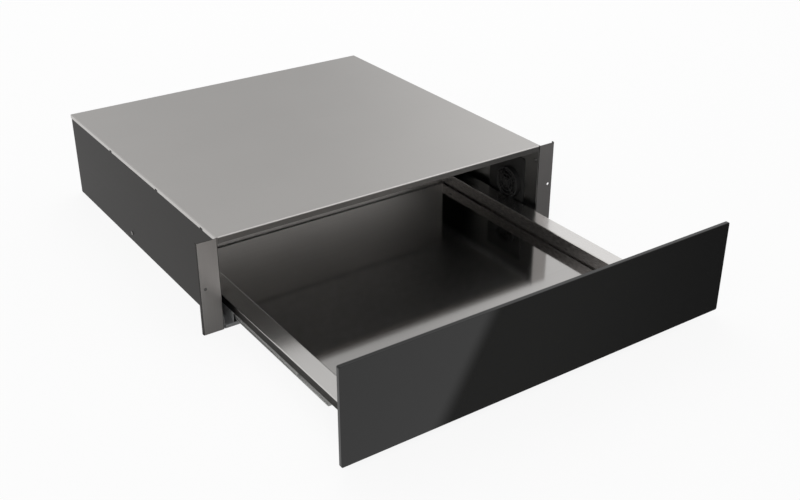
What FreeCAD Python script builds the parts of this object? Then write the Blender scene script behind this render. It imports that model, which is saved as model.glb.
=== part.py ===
import FreeCAD, Part
import math
import os

# Built-in warming drawer, modelled with the drawer open.
# Millimetres. The origin is the centre of the cabinet's underside,
# +X to the right seen from the front, +Y to the rear, +Z up.
# Lengths called "behind" are counted rearward from the front face of the niche flanges.

# ---------------------------------------------------------------- driving dimensions
clearance = 0.3            # between pieces that pass each other
fit = 0.05                 # radial running fit of shafts, pins and balls

# cabinet
cabinet_width = 540.0      # over the cover's side skirts
cabinet_depth = 525.0      # flange front face to the rear panel's outer face
cabinet_height = 136.6
cabinet_sheet = 1.0
cabinet_bend = 0.8         # inner radius of the cabinet's folds
flange_width = 29.0        # side panel's outer face to the flange's outer edge
flange_return = 5.0
flange_lift = 0.5          # flange's lower edge above the shelf
flange_drop = 1.2          # flange's upper edge below the cover's top face
flange_hole_inset = 8.0    # niche screw hole's centre from the flange's outer edge
flange_hole_radius = 2.25
lip_height = 9.0           # cover's front lip
lip_end_gap = 0.6          # seam between the lip's end and the side panel
skirt_height = 6.0         # cover's down-turned side edges
skirt_bend = 0.2           # inner radius of the skirt's fold
skirt_start = 0.5          # skirt's front end behind the flange's fold
notch_places = (43.0, 187.0, 355.0)   # notch centres behind the flange face
notch_length = 8.0
notch_height = 2.5
base_lip = 6.0             # base pan's upturned front edge
base_fold = 4.0            # base pan's upturned side and rear edges
rear_fold = 12.0           # rear panel's forward fold under the cover
vent_count = 9
vent_length = 30.0
vent_height = 4.0
vent_pitch = 42.0
vent_top_gap = 22.0        # vent centres below the cover's top face
vent_round = 0.499         # vent's end radius as a share of its height, just under a half circle

# ceiling
insulation_thickness = 4.2
shield_sheet = 0.8
shield_side_fold = 8.0
shield_front = 12.0        # shield's front edge behind the flange face

# closing positions: the drawer is modelled this far out of its closed place
drawer_open = 321.0
closing_gap = 3.0          # flange face to the backing plate when closed
rear_space = 15.0          # rear wall's inner face to the cabinet's rear face when closed

# front
glass_side_gap = 0.5       # glass's edge inside the flange's outer edge
glass_rise = 2.9           # glass's top edge above the cover's top face
glass_bottom = 8.4
glass_thickness = 5.0
glass_corner = 2.0
glass_edge = 0.6
strip_thickness = 1.0
strip_width = 12.0
strip_inset = 4.0          # adhesive strip's outer edge from the carrier's rim
carrier_inset = 10.0       # carrier's rim from the glass's top and side edges
carrier_bottom_inset = 4.0
carrier_depth = 11.0
carrier_sheet = 1.0
backing_sheet = 0.8
bumper_radius = 5.0
bumper_end_inset = 16.0    # bumper centres from the flange's ends

# drawer box
side_gap = 11.4            # drawer side's lip to the side panel's inner face
cap_width = 27.6
side_lip = 10.8
side_sheet = 0.8
side_bend = 0.8
running_height = 1.2       # drawer pan above the base pan's lip
pan_sheet = 1.0
pan_fold = 2.4
wall_height = 27.6         # pan's upper face to the cap's upper face
floor_insulation = 4.7
heater_thickness = 1.5
floor_thickness = 1.0
floor_edge = 0.6
floor_gap = 3.0            # dark joint round the floor plate
rear_wall_gap = 0.6        # rear wall's top to the ceiling shield
rear_wall_fold = 8.0
insulation_margin = 7.0
heater_margin = 28.0
tab_width = 9.0
tab_length = 14.0
cutout_radius = 7.5
cutout_behind_front = 264.0

# control ledge at the drawer's front
ledge_depth = 40.0
ledge_sheet = 0.8
knob_place = -60.0
knob_radius = 13.0
knob_height = 12.0
knob_taper = 1.5
knob_gap = 0.4
pointer_width = 2.4
pointer_height = 1.5
spindle_radius = 3.0
spindle_depth = 8.0        # spindle's end below the ledge's upper face
thermostat_size = 28.0
thermostat_height = 14.0
switch_place = 0.0
bezel_length = 30.0
bezel_width = 16.0
bezel_height = 2.0
switch_length = 26.0
switch_width = 12.0
switch_depth = 12.0        # switch body below the ledge's upper face
rocker_length = 18.0
rocker_width = 8.4
rocker_keel = 5.0
rocker_ridge = 1.6
rocker_end_gap = 1.0
rocker_tilt = 8.0          # degrees each side of level
pivot_radius = 1.0
pivot_depth = 0.8          # rocker's pivot below the ledge's upper face
pivot_wall = 0.5           # wall left outside the pivot's bore at each side of the switch
lamp_place = 45.0
lamp_radius = 4.0
lamp_neck = 3.2
lamp_depth = 6.0
lamp_dome_drop = 2.4       # centre of the lens's dome below the ledge's upper face

# telescopic runners
rail_sheet = 1.2
rail_bend = 0.4
rail_lip_gap = 1.4         # bracket plate to the inside of the drawer side's lip
rail_level = 18.5          # rail centre line above the shelf
drawer_rail_height = 22.0
drawer_rail_reach = 9.8
drawer_rail_setback = 86.0
drawer_rail_nose = 6.0
rail_rear_gap = 4.0        # drawer rail's end to the rear wall
middle_rail_length = 400.0
middle_rail_front = -1.5   # behind the flange face when closed
middle_rail_reach = 7.8
web_gap = 1.0              # drawer rail's web to the middle rail's web
outer_ball_gap = 3.0       # between the flanges of the drawer rail and the middle rail
inner_ball_gap = 2.4       # between the middle rail and the cabinet rail's bar
bar_gap = 1.2              # middle rail's web to the cabinet rail's bar
bar_reach = 7.4
cabinet_rail_front = 5.0
cabinet_rail_rear = 45.0   # cabinet rail's end to the cabinet's rear face
cabinet_rail_plate = 15.0
cage_sheet = 0.4
ball_count = 6
ball_pitch = 20.0
cage_margin = 10.0
outer_cage_middle = -40.0  # cage centres behind the flange face, drawer open
inner_cage_middle = 100.0
spacer_places = (20.0, 205.0)  # behind the drawer rail's front end
spacer_rear_gap = 2.0      # last spacer's end to the drawer rail's end
spacer_length = 36.0
spacer_web = 10.0
spacer_foot = 3.0         # spacer's upper foot; the lower one ends above the pan's fold
bracket_places = (2.0, 290.0)
bracket_length = 35.0
bracket_foot_level = 5.0
bracket_plate_height = 19.0
bracket_upturn = 13.0

# fan on the right side panel
fan_behind = 61.0
fan_level = 56.0
fan_radius = 25.0
fan_wall = 2.5
fan_depth = 8.2
fan_plate_sheet = 1.2
fan_plate_front = 30.0
fan_plate_length = 83.0
fan_plate_bottom = 30.0
fan_plate_height = 74.0
fan_strut_width = 5.0
fan_strut_thickness = 1.2
fan_boss_radius = 5.0
fan_boss_depth = 3.0
fan_shaft_radius = 1.5
fan_outlet_height = 20.0   # opening in the frame's rim that faces the drawer's rear
hub_radius = 8.0
hub_depth = 3.8
blade_count = 9
blade_thickness = 1.0
blade_lean = 20.0          # degrees, blades lean back from the hub's radius
blade_tip_gap = 1.5        # blade tips to the frame's rim
guard_thickness = 1.0
guard_wire = 1.4
guard_rings = (20.5, 14.5, 8.5)
guard_spokes = 4

# latch, terminal block and gland
latch_length = 50.0
latch_width = 32.0
latch_height = 12.0
latch_rise = 14.0          # plunger's axis above the drawer side's cap
plunger_radius = 4.0
plunger_length = 42.0
plunger_travel = 6.0
plunger_stand = 6.3        # plunger's tip in front of its housing
striker_from_rear = 60.0   # striker's face to the drawer side's rear end
striker_sheet = 1.2
striker_width = 14.0
striker_foot = 12.0
striker_height = 22.0
terminal_rear_gap = 45.0   # terminal block's rear end to the rear panel's outer face
terminal_length = 60.0
terminal_width = 26.0
terminal_height = 22.0
terminal_level = 70.0
terminal_ways = 3
terminal_rib = 2.0
terminal_screw_radius = 3.0
terminal_screw_places = (0.27, 0.73)  # clamp screws, as shares of the block's width
gland_inset = 20.0         # gland's axis from the left side panel's inner face
gland_level = 96.0
gland_flange_radius = 12.0
gland_flange_depth = 3.0
gland_barrel_radius = 9.0
gland_barrel_length = 9.0
gland_bore_radius = 4.5
gland_nut_radius = 12.0
gland_nut_depth = 4.0

# fasteners
screw_head_radius = 3.0
screw_head_height = 1.6
side_screw_behind = 7.0
side_screw_level = 111.0
bracket_screw_level = 14.0
rear_screw_inset = 14.0
rivet_radius = 2.5
rivet_height = 0.9
rivet_level = 29.0
rivet_from_rear = 23.0
rivet_from_front = 14.0
screw_head_round = 0.6     # rounded rims, as shares of the piece's height or radius
rivet_round = 0.7
bumper_round = 0.5
plunger_round = 0.4

# ---------------------------------------------------------------- places worked out
front_y = -cabinet_depth / 2
rear_y = cabinet_depth / 2
panel_outer_x = cabinet_width / 2 - cabinet_sheet
panel_inner_x = panel_outer_x - cabinet_sheet
flange_x = panel_outer_x + flange_width
flange_top = cabinet_height - flange_drop
cover_under = cabinet_height - cabinet_sheet
shield_top = cover_under - insulation_thickness
shield_under = shield_top - shield_sheet
glass_width = 2 * (flange_x - glass_side_gap)
glass_height = cabinet_height + glass_rise - glass_bottom

pan_under = base_lip + running_height
pan_top = pan_under + pan_sheet
cap_top = pan_top + wall_height
heater_bottom = pan_top + floor_insulation
floor_under = heater_bottom + heater_thickness
floor_top = floor_under + floor_thickness
side_lip_x = panel_inner_x - side_gap
wall_inner_x = side_lip_x - cap_width
wall_outer_x = wall_inner_x + side_sheet

backing_y = front_y - closing_gap - drawer_open
rear_wall_y = rear_y - rear_space - drawer_open
rear_wall_top = shield_under - rear_wall_gap
side_end_y = rear_wall_y + side_sheet
carrier_front_y = backing_y - carrier_depth
glass_rear_y = carrier_front_y - strip_thickness
glass_front_y = glass_rear_y - glass_thickness
carrier_x = glass_width / 2 - carrier_inset
carrier_bottom = glass_bottom + carrier_bottom_inset
carrier_top = glass_bottom + glass_height - carrier_inset
ledge_rear_y = backing_y + ledge_depth
ledge_middle_y = backing_y + ledge_depth / 2

bracket_plate_x = side_lip_x - side_sheet - rail_lip_gap - rail_sheet
cabinet_plate_x = bracket_plate_x - rail_sheet
bar_x = cabinet_plate_x - bar_reach
middle_web_x = bar_x - bar_gap - rail_sheet
drawer_web_x = middle_web_x - web_gap - rail_sheet
middle_rail_height = drawer_rail_height - 2 * (rail_sheet + outer_ball_gap)
bar_height = middle_rail_height - 2 * (rail_sheet + inner_ball_gap)
drawer_rail_y = backing_y + drawer_rail_setback
drawer_rail_length = rear_wall_y - rail_rear_gap - drawer_rail_y
middle_rail_y = front_y + middle_rail_front - drawer_open / 2
cabinet_rail_length = cabinet_depth - cabinet_rail_front - cabinet_rail_rear

latch_level = cap_top + latch_rise
striker_y = side_end_y - striker_from_rear
plunger_tip_y = striker_y + drawer_open + clearance
latch_axis_x = -panel_inner_x + latch_width / 2

fan_y = front_y + fan_behind
fan_plate_x = panel_inner_x - fan_plate_sheet
fan_front_x = fan_plate_x - fan_depth

X = FreeCAD.Vector(1, 0, 0)
Y = FreeCAD.Vector(0, 1, 0)
Z = FreeCAD.Vector(0, 0, 1)


# ---------------------------------------------------------------- helpers
def box(x0, x1, y0, y1, z0, z1):
    """A block between two corners."""
    return Part.makeBox(x1 - x0, y1 - y0, z1 - z0, FreeCAD.Vector(x0, y0, z0))


def rod(radius, length, x, y, z, axis):
    """A cylinder that starts at a point and runs along an axis."""
    return Part.makeCylinder(radius, length, FreeCAD.Vector(x, y, z), axis)


def ring(outer, inner, depth, x, y, z, axis):
    """A flat ring."""
    return rod(outer, depth, x, y, z, axis).cut(rod(inner, depth, x, y, z, axis))


def joined(shapes):
    """One solid from touching or overlapping shapes."""
    result = shapes[0].fuse(shapes[1:])
    return result.removeSplitter()


def mirrored(shape):
    """The same piece on the cabinet's left side."""
    return shape.mirror(FreeCAD.Vector(0, 0, 0), X)


def softened(shape, radius, axis):
    """Fillets every straight edge that runs along an axis."""
    edges = []
    for edge in shape.Edges:
        run = edge.Vertexes[-1].Point - edge.Vertexes[0].Point
        if run.Length > 0 and abs(run.normalize().dot(axis)) > 0.999:
            edges.append(edge)
    return shape.makeFillet(radius, edges)


def left_of(start, end):
    """Unit vector to the left of a line, in the section's plane."""
    run = (end - start).normalize()
    return FreeCAD.Vector(-run.y, run.x, 0)


def offset_path(points, distance):
    """The same open path moved to its left, with mitred corners."""
    moved = []
    for index, point in enumerate(points):
        normals = []
        if index > 0:
            normals.append(left_of(points[index - 1], point))
        if index < len(points) - 1:
            normals.append(left_of(point, points[index + 1]))
        if len(normals) == 2:
            shift = (normals[0] + normals[1]) * (distance / (1 + normals[0].dot(normals[1])))
        else:
            shift = normals[0] * distance
        moved.append(point + shift)
    return moved


def bent_edges(points, radii, to_space):
    """Straight runs joined by tangent arcs, one radius for each inner point."""
    edges = []
    start = points[0]
    for before, corner, after, radius in zip(points, points[1:], points[2:], radii):
        run_in = (corner - before).normalize()
        run_out = (after - corner).normalize()
        half_turn = math.acos(run_in.dot(run_out)) / 2
        setback = radius * math.tan(half_turn)
        inward = (run_out - run_in).normalize()
        first = corner - run_in * setback
        middle = corner + inward * (radius / math.cos(half_turn) - radius)
        last = corner + run_out * setback
        if (first - start).Length > 1e-6:
            edges.append(Part.LineSegment(to_space(start), to_space(first)).toShape())
        edges.append(Part.Arc(to_space(first), to_space(middle), to_space(last)).toShape())
        start = last
    edges.append(Part.LineSegment(to_space(start), to_space(points[-1])).toShape())
    return edges


def folded_sheet(path, sheet, bend, plane, start, length):
    """A folded sheet. The path is one face of its section, and the sheet lies on the path's left.

    plane names the section's two axes; the section is extruded along the third one.
    """
    across, up, along = {"xz": (X, Z, Y), "yz": (Y, Z, X), "xy": (X, Y, Z)}[plane]

    def to_space(point):
        return across * point.x + up * point.y + along * start

    points = [FreeCAD.Vector(u, v, 0) for u, v in path]
    other = offset_path(points, sheet)
    near_radii = []
    far_radii = []
    for before, corner, after in zip(points, points[1:], points[2:]):
        turns_left = left_of(before, corner).dot(after - corner) > 0
        near_radii.append(bend + sheet if turns_left else bend)
        far_radii.append(bend if turns_left else bend + sheet)
    near = bent_edges(points, near_radii, to_space)
    far = bent_edges(other, far_radii, to_space)
    ends = []
    for a, b in ((points[0], other[0]), (points[-1], other[-1])):
        ends.append(Part.LineSegment(to_space(a), to_space(b)).toShape())
    wire = Part.Wire(Part.__sortEdges__(near + far + ends))
    return Part.Face(wire).extrude(along * length)


def save(name, shape):
    """Writes one node."""
    shape.exportStep("parts/" + name + ".step")


def save_pair(name, shape):
    """Writes a right-hand piece and its mirror image."""
    save(name + "_right", shape)
    save(name + "_left", mirrored(shape))


# ---------------------------------------------------------------- cabinet
def base_pan():
    inner_x = panel_inner_x - cabinet_sheet - cabinet_bend
    profile = [(front_y, base_lip), (front_y, 0), (rear_y - cabinet_sheet, 0),
               (rear_y - cabinet_sheet, base_fold)]
    middle = folded_sheet(profile, cabinet_sheet, cabinet_bend, "yz", -inner_x, 2 * inner_x)
    side_profile = [(inner_x, 0), (panel_inner_x, 0), (panel_inner_x, base_fold)]
    inset = cabinet_sheet + cabinet_bend
    side = folded_sheet(side_profile, cabinet_sheet, cabinet_bend, "xz", front_y + inset,
                        cabinet_depth - 2 * inset - cabinet_sheet)
    return joined([middle, side, mirrored(side)])


def side_panel():
    """Right side panel with its flange turned outward and the flange's edge turned back."""
    path = [(panel_inner_x, rear_y), (panel_inner_x, front_y), (flange_x, front_y),
            (flange_x, front_y + flange_return)]
    panel = folded_sheet(path, cabinet_sheet, cabinet_bend, "xy", flange_lift,
                         flange_top - flange_lift)
    hole_level = (flange_lift + flange_top) / 2
    hole = rod(flange_hole_radius, cabinet_sheet * 3, flange_x - flange_hole_inset,
               front_y - cabinet_sheet, hole_level, Y)
    return panel.cut(hole)


def top_cover():
    lip_x = panel_inner_x - lip_end_gap
    profile = [(rear_y, cabinet_height), (front_y, cabinet_height),
               (front_y, cabinet_height - lip_height)]
    middle = folded_sheet(profile, cabinet_sheet, cabinet_bend, "yz", -lip_x, 2 * lip_x)
    skirt_x = cabinet_width / 2
    side_profile = [(skirt_x, cabinet_height - skirt_height), (skirt_x, cabinet_height),
                    (lip_x, cabinet_height)]
    side = folded_sheet(side_profile, cabinet_sheet, skirt_bend, "xz", front_y, cabinet_depth)
    relief_end = front_y + cabinet_sheet + cabinet_bend + skirt_start
    side = side.cut(box(panel_inner_x, skirt_x, front_y, relief_end, 0, cover_under))
    for behind in notch_places:
        middle_y = front_y + behind
        bottom = cabinet_height - skirt_height
        side = side.cut(box(panel_outer_x, skirt_x, middle_y - notch_length / 2,
                            middle_y + notch_length / 2, bottom, bottom + notch_height))
    return joined([middle, side, mirrored(side)])


def gland_axis_x():
    return -panel_inner_x + gland_inset


def rear_panel():
    profile = [(rear_y, cabinet_sheet), (rear_y, cover_under), (rear_y - rear_fold, cover_under)]
    panel = folded_sheet(profile, cabinet_sheet, cabinet_bend, "yz", -panel_inner_x,
                         2 * panel_inner_x)
    vent_level = cabinet_height - vent_top_gap
    for number in range(vent_count):
        x = (number - (vent_count - 1) / 2) * vent_pitch
        vent = box(x - vent_length / 2, x + vent_length / 2, rear_y - 2 * cabinet_sheet, rear_y,
                   vent_level - vent_height / 2, vent_level + vent_height / 2)
        panel = panel.cut(softened(vent, vent_height * vent_round, Y))
    hole = rod(gland_barrel_radius, 3 * cabinet_sheet, gland_axis_x(),
               rear_y - 2 * cabinet_sheet, gland_level, Y)
    return panel.cut(hole)


def ceiling_shield():
    profile = [(panel_inner_x, shield_top - shield_side_fold), (panel_inner_x, shield_top),
               (-panel_inner_x, shield_top), (-panel_inner_x, shield_top - shield_side_fold)]
    return folded_sheet(profile, shield_sheet, cabinet_bend, "xz", front_y + shield_front,
                        cabinet_depth - shield_front - rear_fold)


def ceiling_insulation():
    return box(-panel_inner_x, panel_inner_x, front_y + shield_front, rear_y - rear_fold,
               shield_top, cover_under)


def screw_head(x, y, z, axis):
    """Low round head with a rounded rim."""
    head = rod(screw_head_radius, screw_head_height, x, y, z, axis)
    rims = [edge for edge in head.Edges if len(edge.Vertexes) == 1]
    top = max(rims, key=lambda edge: edge.CenterOfMass.dot(axis))
    return head.makeFillet(screw_head_height * screw_head_round, [top])


def cabinet_screws():
    heads = []
    bracket_middle = front_y + bracket_places[1] + bracket_length / 2
    for side in (-1, 1):
        inward = FreeCAD.Vector(-side, 0, 0)
        outward = FreeCAD.Vector(side, 0, 0)
        heads.append(screw_head(side * panel_inner_x, front_y + side_screw_behind,
                                side_screw_level, inward))
        heads.append(screw_head(side * panel_outer_x, bracket_middle, bracket_screw_level,
                                outward))
        for level in (rear_screw_inset, cabinet_height - rear_screw_inset):
            heads.append(screw_head(side * (panel_inner_x - rear_screw_inset), rear_y, level, Y))
    return Part.makeCompound(heads)


def cable_gland():
    """Round flange outside, barrel through the rear panel and a nut inside."""
    x = gland_axis_x()
    flange = rod(gland_flange_radius, gland_flange_depth, x, rear_y, gland_level, Y)
    inside_y = rear_y - cabinet_sheet - gland_nut_depth
    barrel_length = gland_nut_depth + cabinet_sheet + gland_flange_depth + gland_barrel_length
    barrel = rod(gland_barrel_radius, barrel_length, x, inside_y, gland_level, Y)
    corners = []
    for number in range(7):
        angle = math.radians(60 * number)
        corners.append(FreeCAD.Vector(x + gland_nut_radius * math.cos(angle), inside_y,
                                      gland_level + gland_nut_radius * math.sin(angle)))
    nut = Part.Face(Part.makePolygon(corners)).extrude(Y * gland_nut_depth)
    bore = rod(gland_bore_radius, barrel_length, x, inside_y, gland_level, Y)
    return joined([flange, barrel, nut]).cut(bore)


def terminal_block():
    """Block with raised ribs between its ways and a clamp screw at each end of each way."""
    outer_x = -panel_inner_x
    front = rear_y - terminal_rear_gap - terminal_length
    body = box(outer_x, outer_x + terminal_width, front, front + terminal_length,
               terminal_level, terminal_level + terminal_height)
    pieces = [body]
    pitch = (terminal_length - terminal_rib) / terminal_ways
    top = terminal_level + terminal_height
    for number in range(terminal_ways + 1):
        y = front + number * pitch
        pieces.append(box(outer_x, outer_x + terminal_width, y, y + terminal_rib,
                          top, top + 2 * terminal_rib))
    for number in range(terminal_ways):
        y = front + terminal_rib + (number + 0.5) * pitch - terminal_rib / 2
        for share in terminal_screw_places:
            pieces.append(rod(terminal_screw_radius, terminal_rib, outer_x + share * terminal_width,
                              y, top, Z))
    return joined(pieces)


# ---------------------------------------------------------------- push latch
def latch_housing():
    front = plunger_tip_y + plunger_stand
    body = box(-panel_inner_x, -panel_inner_x + latch_width, front, front + latch_length,
               latch_level - latch_height / 2, latch_level + latch_height / 2)
    depth = plunger_length + plunger_travel - plunger_stand + clearance
    bore = rod(plunger_radius + fit, depth, latch_axis_x, front, latch_level, Y)
    return body.cut(bore)


def latch_plunger():
    """Stands out of the housing to just behind the striker of the closed drawer."""
    body = rod(plunger_radius, plunger_length, latch_axis_x, plunger_tip_y, latch_level, Y)
    rims = [edge for edge in body.Edges if len(edge.Vertexes) == 1]
    front_rim = min(rims, key=lambda edge: edge.CenterOfMass.y)
    return body.makeFillet(plunger_radius * plunger_round, [front_rim])


def latch_striker():
    """Angle on the left side's cap that pushes the plunger in."""
    profile = [(striker_y - striker_foot, cap_top), (striker_y, cap_top),
               (striker_y, cap_top + striker_height)]
    return folded_sheet(profile, striker_sheet, rail_bend, "yz",
                        latch_axis_x - striker_width / 2, striker_width)


# ---------------------------------------------------------------- fan
def fan_bracket():
    plate = box(fan_plate_x, panel_inner_x, front_y + fan_plate_front,
                front_y + fan_plate_front + fan_plate_length, fan_plate_bottom,
                fan_plate_bottom + fan_plate_height)
    return softened(plate, 3 * fan_plate_sheet, X)


def fan_frame():
    """Rim with an outlet at the rear, three struts and a boss that carries the rotor's shaft."""
    rim = ring(fan_radius, fan_radius - fan_wall, fan_depth, fan_front_x, fan_y, fan_level, X)
    rim = rim.cut(box(fan_front_x, fan_plate_x, fan_y, fan_y + fan_radius,
                      fan_level - fan_outlet_height / 2, fan_level + fan_outlet_height / 2))
    strut_x = fan_plate_x - fan_strut_thickness
    pieces = [rim, rod(fan_boss_radius, fan_boss_depth, fan_plate_x - fan_boss_depth, fan_y,
                       fan_level, X)]
    for number in range(3):
        strut = box(strut_x, fan_plate_x, fan_y - fan_strut_width / 2,
                    fan_y + fan_strut_width / 2, fan_level, fan_level + fan_radius - fan_wall / 2)
        strut.rotate(FreeCAD.Vector(0, fan_y, fan_level), X, 90 + 120 * number)
        pieces.append(strut)
    bore = rod(fan_shaft_radius + fit, fan_depth, fan_front_x, fan_y, fan_level, X)
    return joined(pieces).cut(bore)


def rotor_front_x():
    return fan_plate_x - fan_boss_depth - clearance - hub_depth


def fan_rotor():
    """Hub with upright blades that throw the air outward, and a shaft in the frame's boss."""
    x = rotor_front_x()
    centre = FreeCAD.Vector(x, fan_y, fan_level)
    pieces = [rod(hub_radius, hub_depth, x, fan_y, fan_level, X)]
    shaft_end = fan_plate_x - clearance
    pieces.append(rod(fan_shaft_radius, shaft_end - x, x, fan_y, fan_level, X))
    lean = math.radians(blade_lean)
    root = hub_radius - blade_thickness
    tip_radius = fan_radius - fan_wall - blade_tip_gap
    reach = math.sqrt(tip_radius ** 2 - (root * math.sin(lean)) ** 2) - root * math.cos(lean)
    for number in range(blade_count):
        blade = box(x, x + hub_depth, fan_y - blade_thickness, fan_y, fan_level,
                    fan_level + reach)
        blade.rotate(centre, X, -blade_lean)
        blade.translate(Z * root)
        blade.rotate(centre, X, 360 * number / blade_count)
        pieces.append(blade)
    return joined(pieces)


def fan_guard():
    """Round wire grille in front of the rotor, with a rim on the frame."""
    x = fan_front_x - guard_thickness
    pieces = [ring(fan_radius, fan_radius - fan_wall, guard_thickness, x, fan_y, fan_level, X)]
    for radius in guard_rings:
        pieces.append(ring(radius, radius - guard_wire, guard_thickness, x, fan_y, fan_level, X))
    for number in range(guard_spokes):
        spoke = box(x, x + guard_thickness, fan_y - guard_wire / 2, fan_y + guard_wire / 2,
                    fan_level, fan_level + fan_radius - fan_wall / 2)
        spoke.rotate(FreeCAD.Vector(0, fan_y, fan_level), X, 45 + 360 * number / guard_spokes)
        pieces.append(spoke)
    pieces.append(rod(guard_rings[-1] / 2, guard_thickness, x, fan_y, fan_level, X))
    return joined(pieces)


# ---------------------------------------------------------------- runners
def channel(web_x, reach, height, start, length):
    """Channel rail that opens outward, centred on the rail level."""
    top = rail_level + height / 2
    bottom = rail_level - height / 2
    profile = [(web_x + reach, top), (web_x, top), (web_x, bottom), (web_x + reach, bottom)]
    return folded_sheet(profile, rail_sheet, rail_bend, "xz", start, length)


def cabinet_rail():
    start = front_y + cabinet_rail_front
    end = start + cabinet_rail_length
    bar = box(bar_x, cabinet_plate_x, start, end, rail_level - bar_height / 2,
              rail_level + bar_height / 2)
    plate = box(cabinet_plate_x, bracket_plate_x, start, end,
                rail_level - cabinet_rail_plate / 2, rail_level + cabinet_rail_plate / 2)
    return joined([bar, plate])


def middle_rail():
    return channel(middle_web_x, middle_rail_reach, middle_rail_height, middle_rail_y,
                   middle_rail_length)


def drawer_rail():
    """Channel with a rounded front end."""
    rail = channel(drawer_web_x, drawer_rail_reach, drawer_rail_height, drawer_rail_y,
                   drawer_rail_length)
    top = rail_level + drawer_rail_height / 2
    bottom = rail_level - drawer_rail_height / 2
    far_x = drawer_web_x + drawer_rail_reach
    blank = box(drawer_web_x, far_x, drawer_rail_y, drawer_rail_y + drawer_rail_length,
                bottom, top)
    front_edges = []
    for edge in blank.Edges:
        run = edge.Vertexes[-1].Point - edge.Vertexes[0].Point
        at_front = edge.CenterOfMass.y < drawer_rail_y + 0.01
        if at_front and abs(run.normalize().x) > 0.999:
            front_edges.append(edge)
    return rail.common(blank.makeFillet(drawer_rail_nose, front_edges))


def ball_cage(web_x, ball_gap, inner_half, reach, middle_y):
    """Thin channel with two rows of balls; inner_half is half the height of the rail inside it."""
    row_level = inner_half + ball_gap / 2
    length = (ball_count - 1) * ball_pitch + 2 * cage_margin
    start = middle_y - length / 2
    top = rail_level + row_level + cage_sheet / 2
    bottom = rail_level - row_level - cage_sheet / 2
    profile = [(web_x + reach, top), (web_x, top), (web_x, bottom), (web_x + reach, bottom)]
    cage = folded_sheet(profile, cage_sheet, cage_sheet, "xz", start, length)
    ball_x = web_x + reach - ball_gap
    radius = ball_gap / 2 - fit
    balls = []
    for number in range(ball_count):
        y = start + cage_margin + number * ball_pitch
        cage = cage.cut(rod(radius + fit, 2 * top, ball_x, y, 0, Z))
        for side in (-1, 1):
            balls.append(Part.makeSphere(radius, FreeCAD.Vector(ball_x, y,
                                                                rail_level + side * row_level)))
    return Part.makeCompound([cage] + balls)


def outer_ball_cage():
    web_x = middle_web_x - (web_gap + cage_sheet) / 2
    return ball_cage(web_x, outer_ball_gap, middle_rail_height / 2,
                     drawer_rail_reach - rail_sheet - 2 * cage_sheet, front_y + outer_cage_middle)


def inner_ball_cage():
    web_x = bar_x - (bar_gap + cage_sheet) / 2
    return ball_cage(web_x, inner_ball_gap, bar_height / 2,
                     middle_rail_reach - rail_sheet - 2 * cage_sheet, front_y + inner_cage_middle)


def rail_brackets():
    """Front and rear brackets between the cabinet rail and the side panel."""
    level = bracket_foot_level
    profile = [(bracket_plate_x, level + bracket_plate_height), (bracket_plate_x, level),
               (panel_inner_x, level), (panel_inner_x, level + bracket_upturn)]
    brackets = []
    for behind in bracket_places:
        brackets.append(folded_sheet(profile, rail_sheet, rail_bend, "xz", front_y + behind,
                                     bracket_length))
    return Part.makeCompound(brackets)


def rail_spacers():
    """Hat sections between the drawer's side wall and the drawer rail."""
    top = rail_level + spacer_web / 2
    bottom = rail_level - spacer_web / 2
    web_x = drawer_web_x - rail_sheet
    profile = [(wall_outer_x, top + spacer_foot), (wall_outer_x, top), (web_x, top),
               (web_x, bottom), (wall_outer_x, bottom),
               (wall_outer_x, pan_top + pan_fold + clearance)]
    spacers = []
    last_place = drawer_rail_length - spacer_rear_gap - spacer_length
    for behind in spacer_places + (last_place,):
        spacers.append(folded_sheet(profile, rail_sheet, rail_bend, "xz",
                                    drawer_rail_y + behind, spacer_length))
    return Part.makeCompound(spacers)


# ---------------------------------------------------------------- drawer box
def drawer_pan():
    edge_x = wall_outer_x + side_bend + pan_sheet
    edge_top = pan_top + pan_fold
    profile = [(-edge_x, edge_top), (-edge_x, pan_under), (edge_x, pan_under), (edge_x, edge_top)]
    return folded_sheet(profile, pan_sheet, side_bend, "xz", backing_y, side_end_y - backing_y)


def drawer_side():
    """Inner wall, flat cap and down-turned lip, folded from one sheet."""
    profile = [(side_lip_x, cap_top - side_lip), (side_lip_x, cap_top), (wall_inner_x, cap_top),
               (wall_inner_x, pan_top)]
    return folded_sheet(profile, side_sheet, side_bend, "xz", backing_y, side_end_y - backing_y)


def drawer_rear_wall():
    profile = [(rear_wall_y + rear_wall_fold, rear_wall_top), (rear_wall_y, rear_wall_top),
               (rear_wall_y, pan_top)]
    return folded_sheet(profile, side_sheet, side_bend, "yz", -wall_inner_x, 2 * wall_inner_x)


def floor_plate():
    x = wall_inner_x - floor_gap
    plate = box(-x, x, backing_y + floor_gap, rear_wall_y - floor_gap, floor_under, floor_top)
    edges = []
    for edge in plate.Edges:
        if edge.CenterOfMass.z > floor_top - 0.01:
            edges.append(edge)
    return plate.makeFillet(floor_edge, edges)


def cutout_y():
    return backing_y + cutout_behind_front


def floor_insulation_mat():
    x = wall_inner_x - insulation_margin
    mat = box(-x, x, backing_y + insulation_margin, rear_wall_y - insulation_margin,
              pan_top, heater_bottom)
    return mat.cut(rod(cutout_radius + clearance, floor_insulation, 0, cutout_y(), pan_top, Z))


def heating_mat():
    """Flat heater with two connection tabs at its front edge."""
    x = wall_inner_x - heater_margin
    front = backing_y + heater_margin
    pieces = [box(-x, x, front, rear_wall_y - heater_margin, heater_bottom, floor_under)]
    for side in (-1, 1):
        middle = side * 2 * tab_width
        pieces.append(box(middle - tab_width / 2, middle + tab_width / 2, front - tab_length,
                          front, heater_bottom, floor_under))
    return joined(pieces)


def thermal_cutout():
    """Disc that presses on the heater from below."""
    return rod(cutout_radius, floor_insulation, 0, cutout_y(), pan_top, Z)


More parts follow.
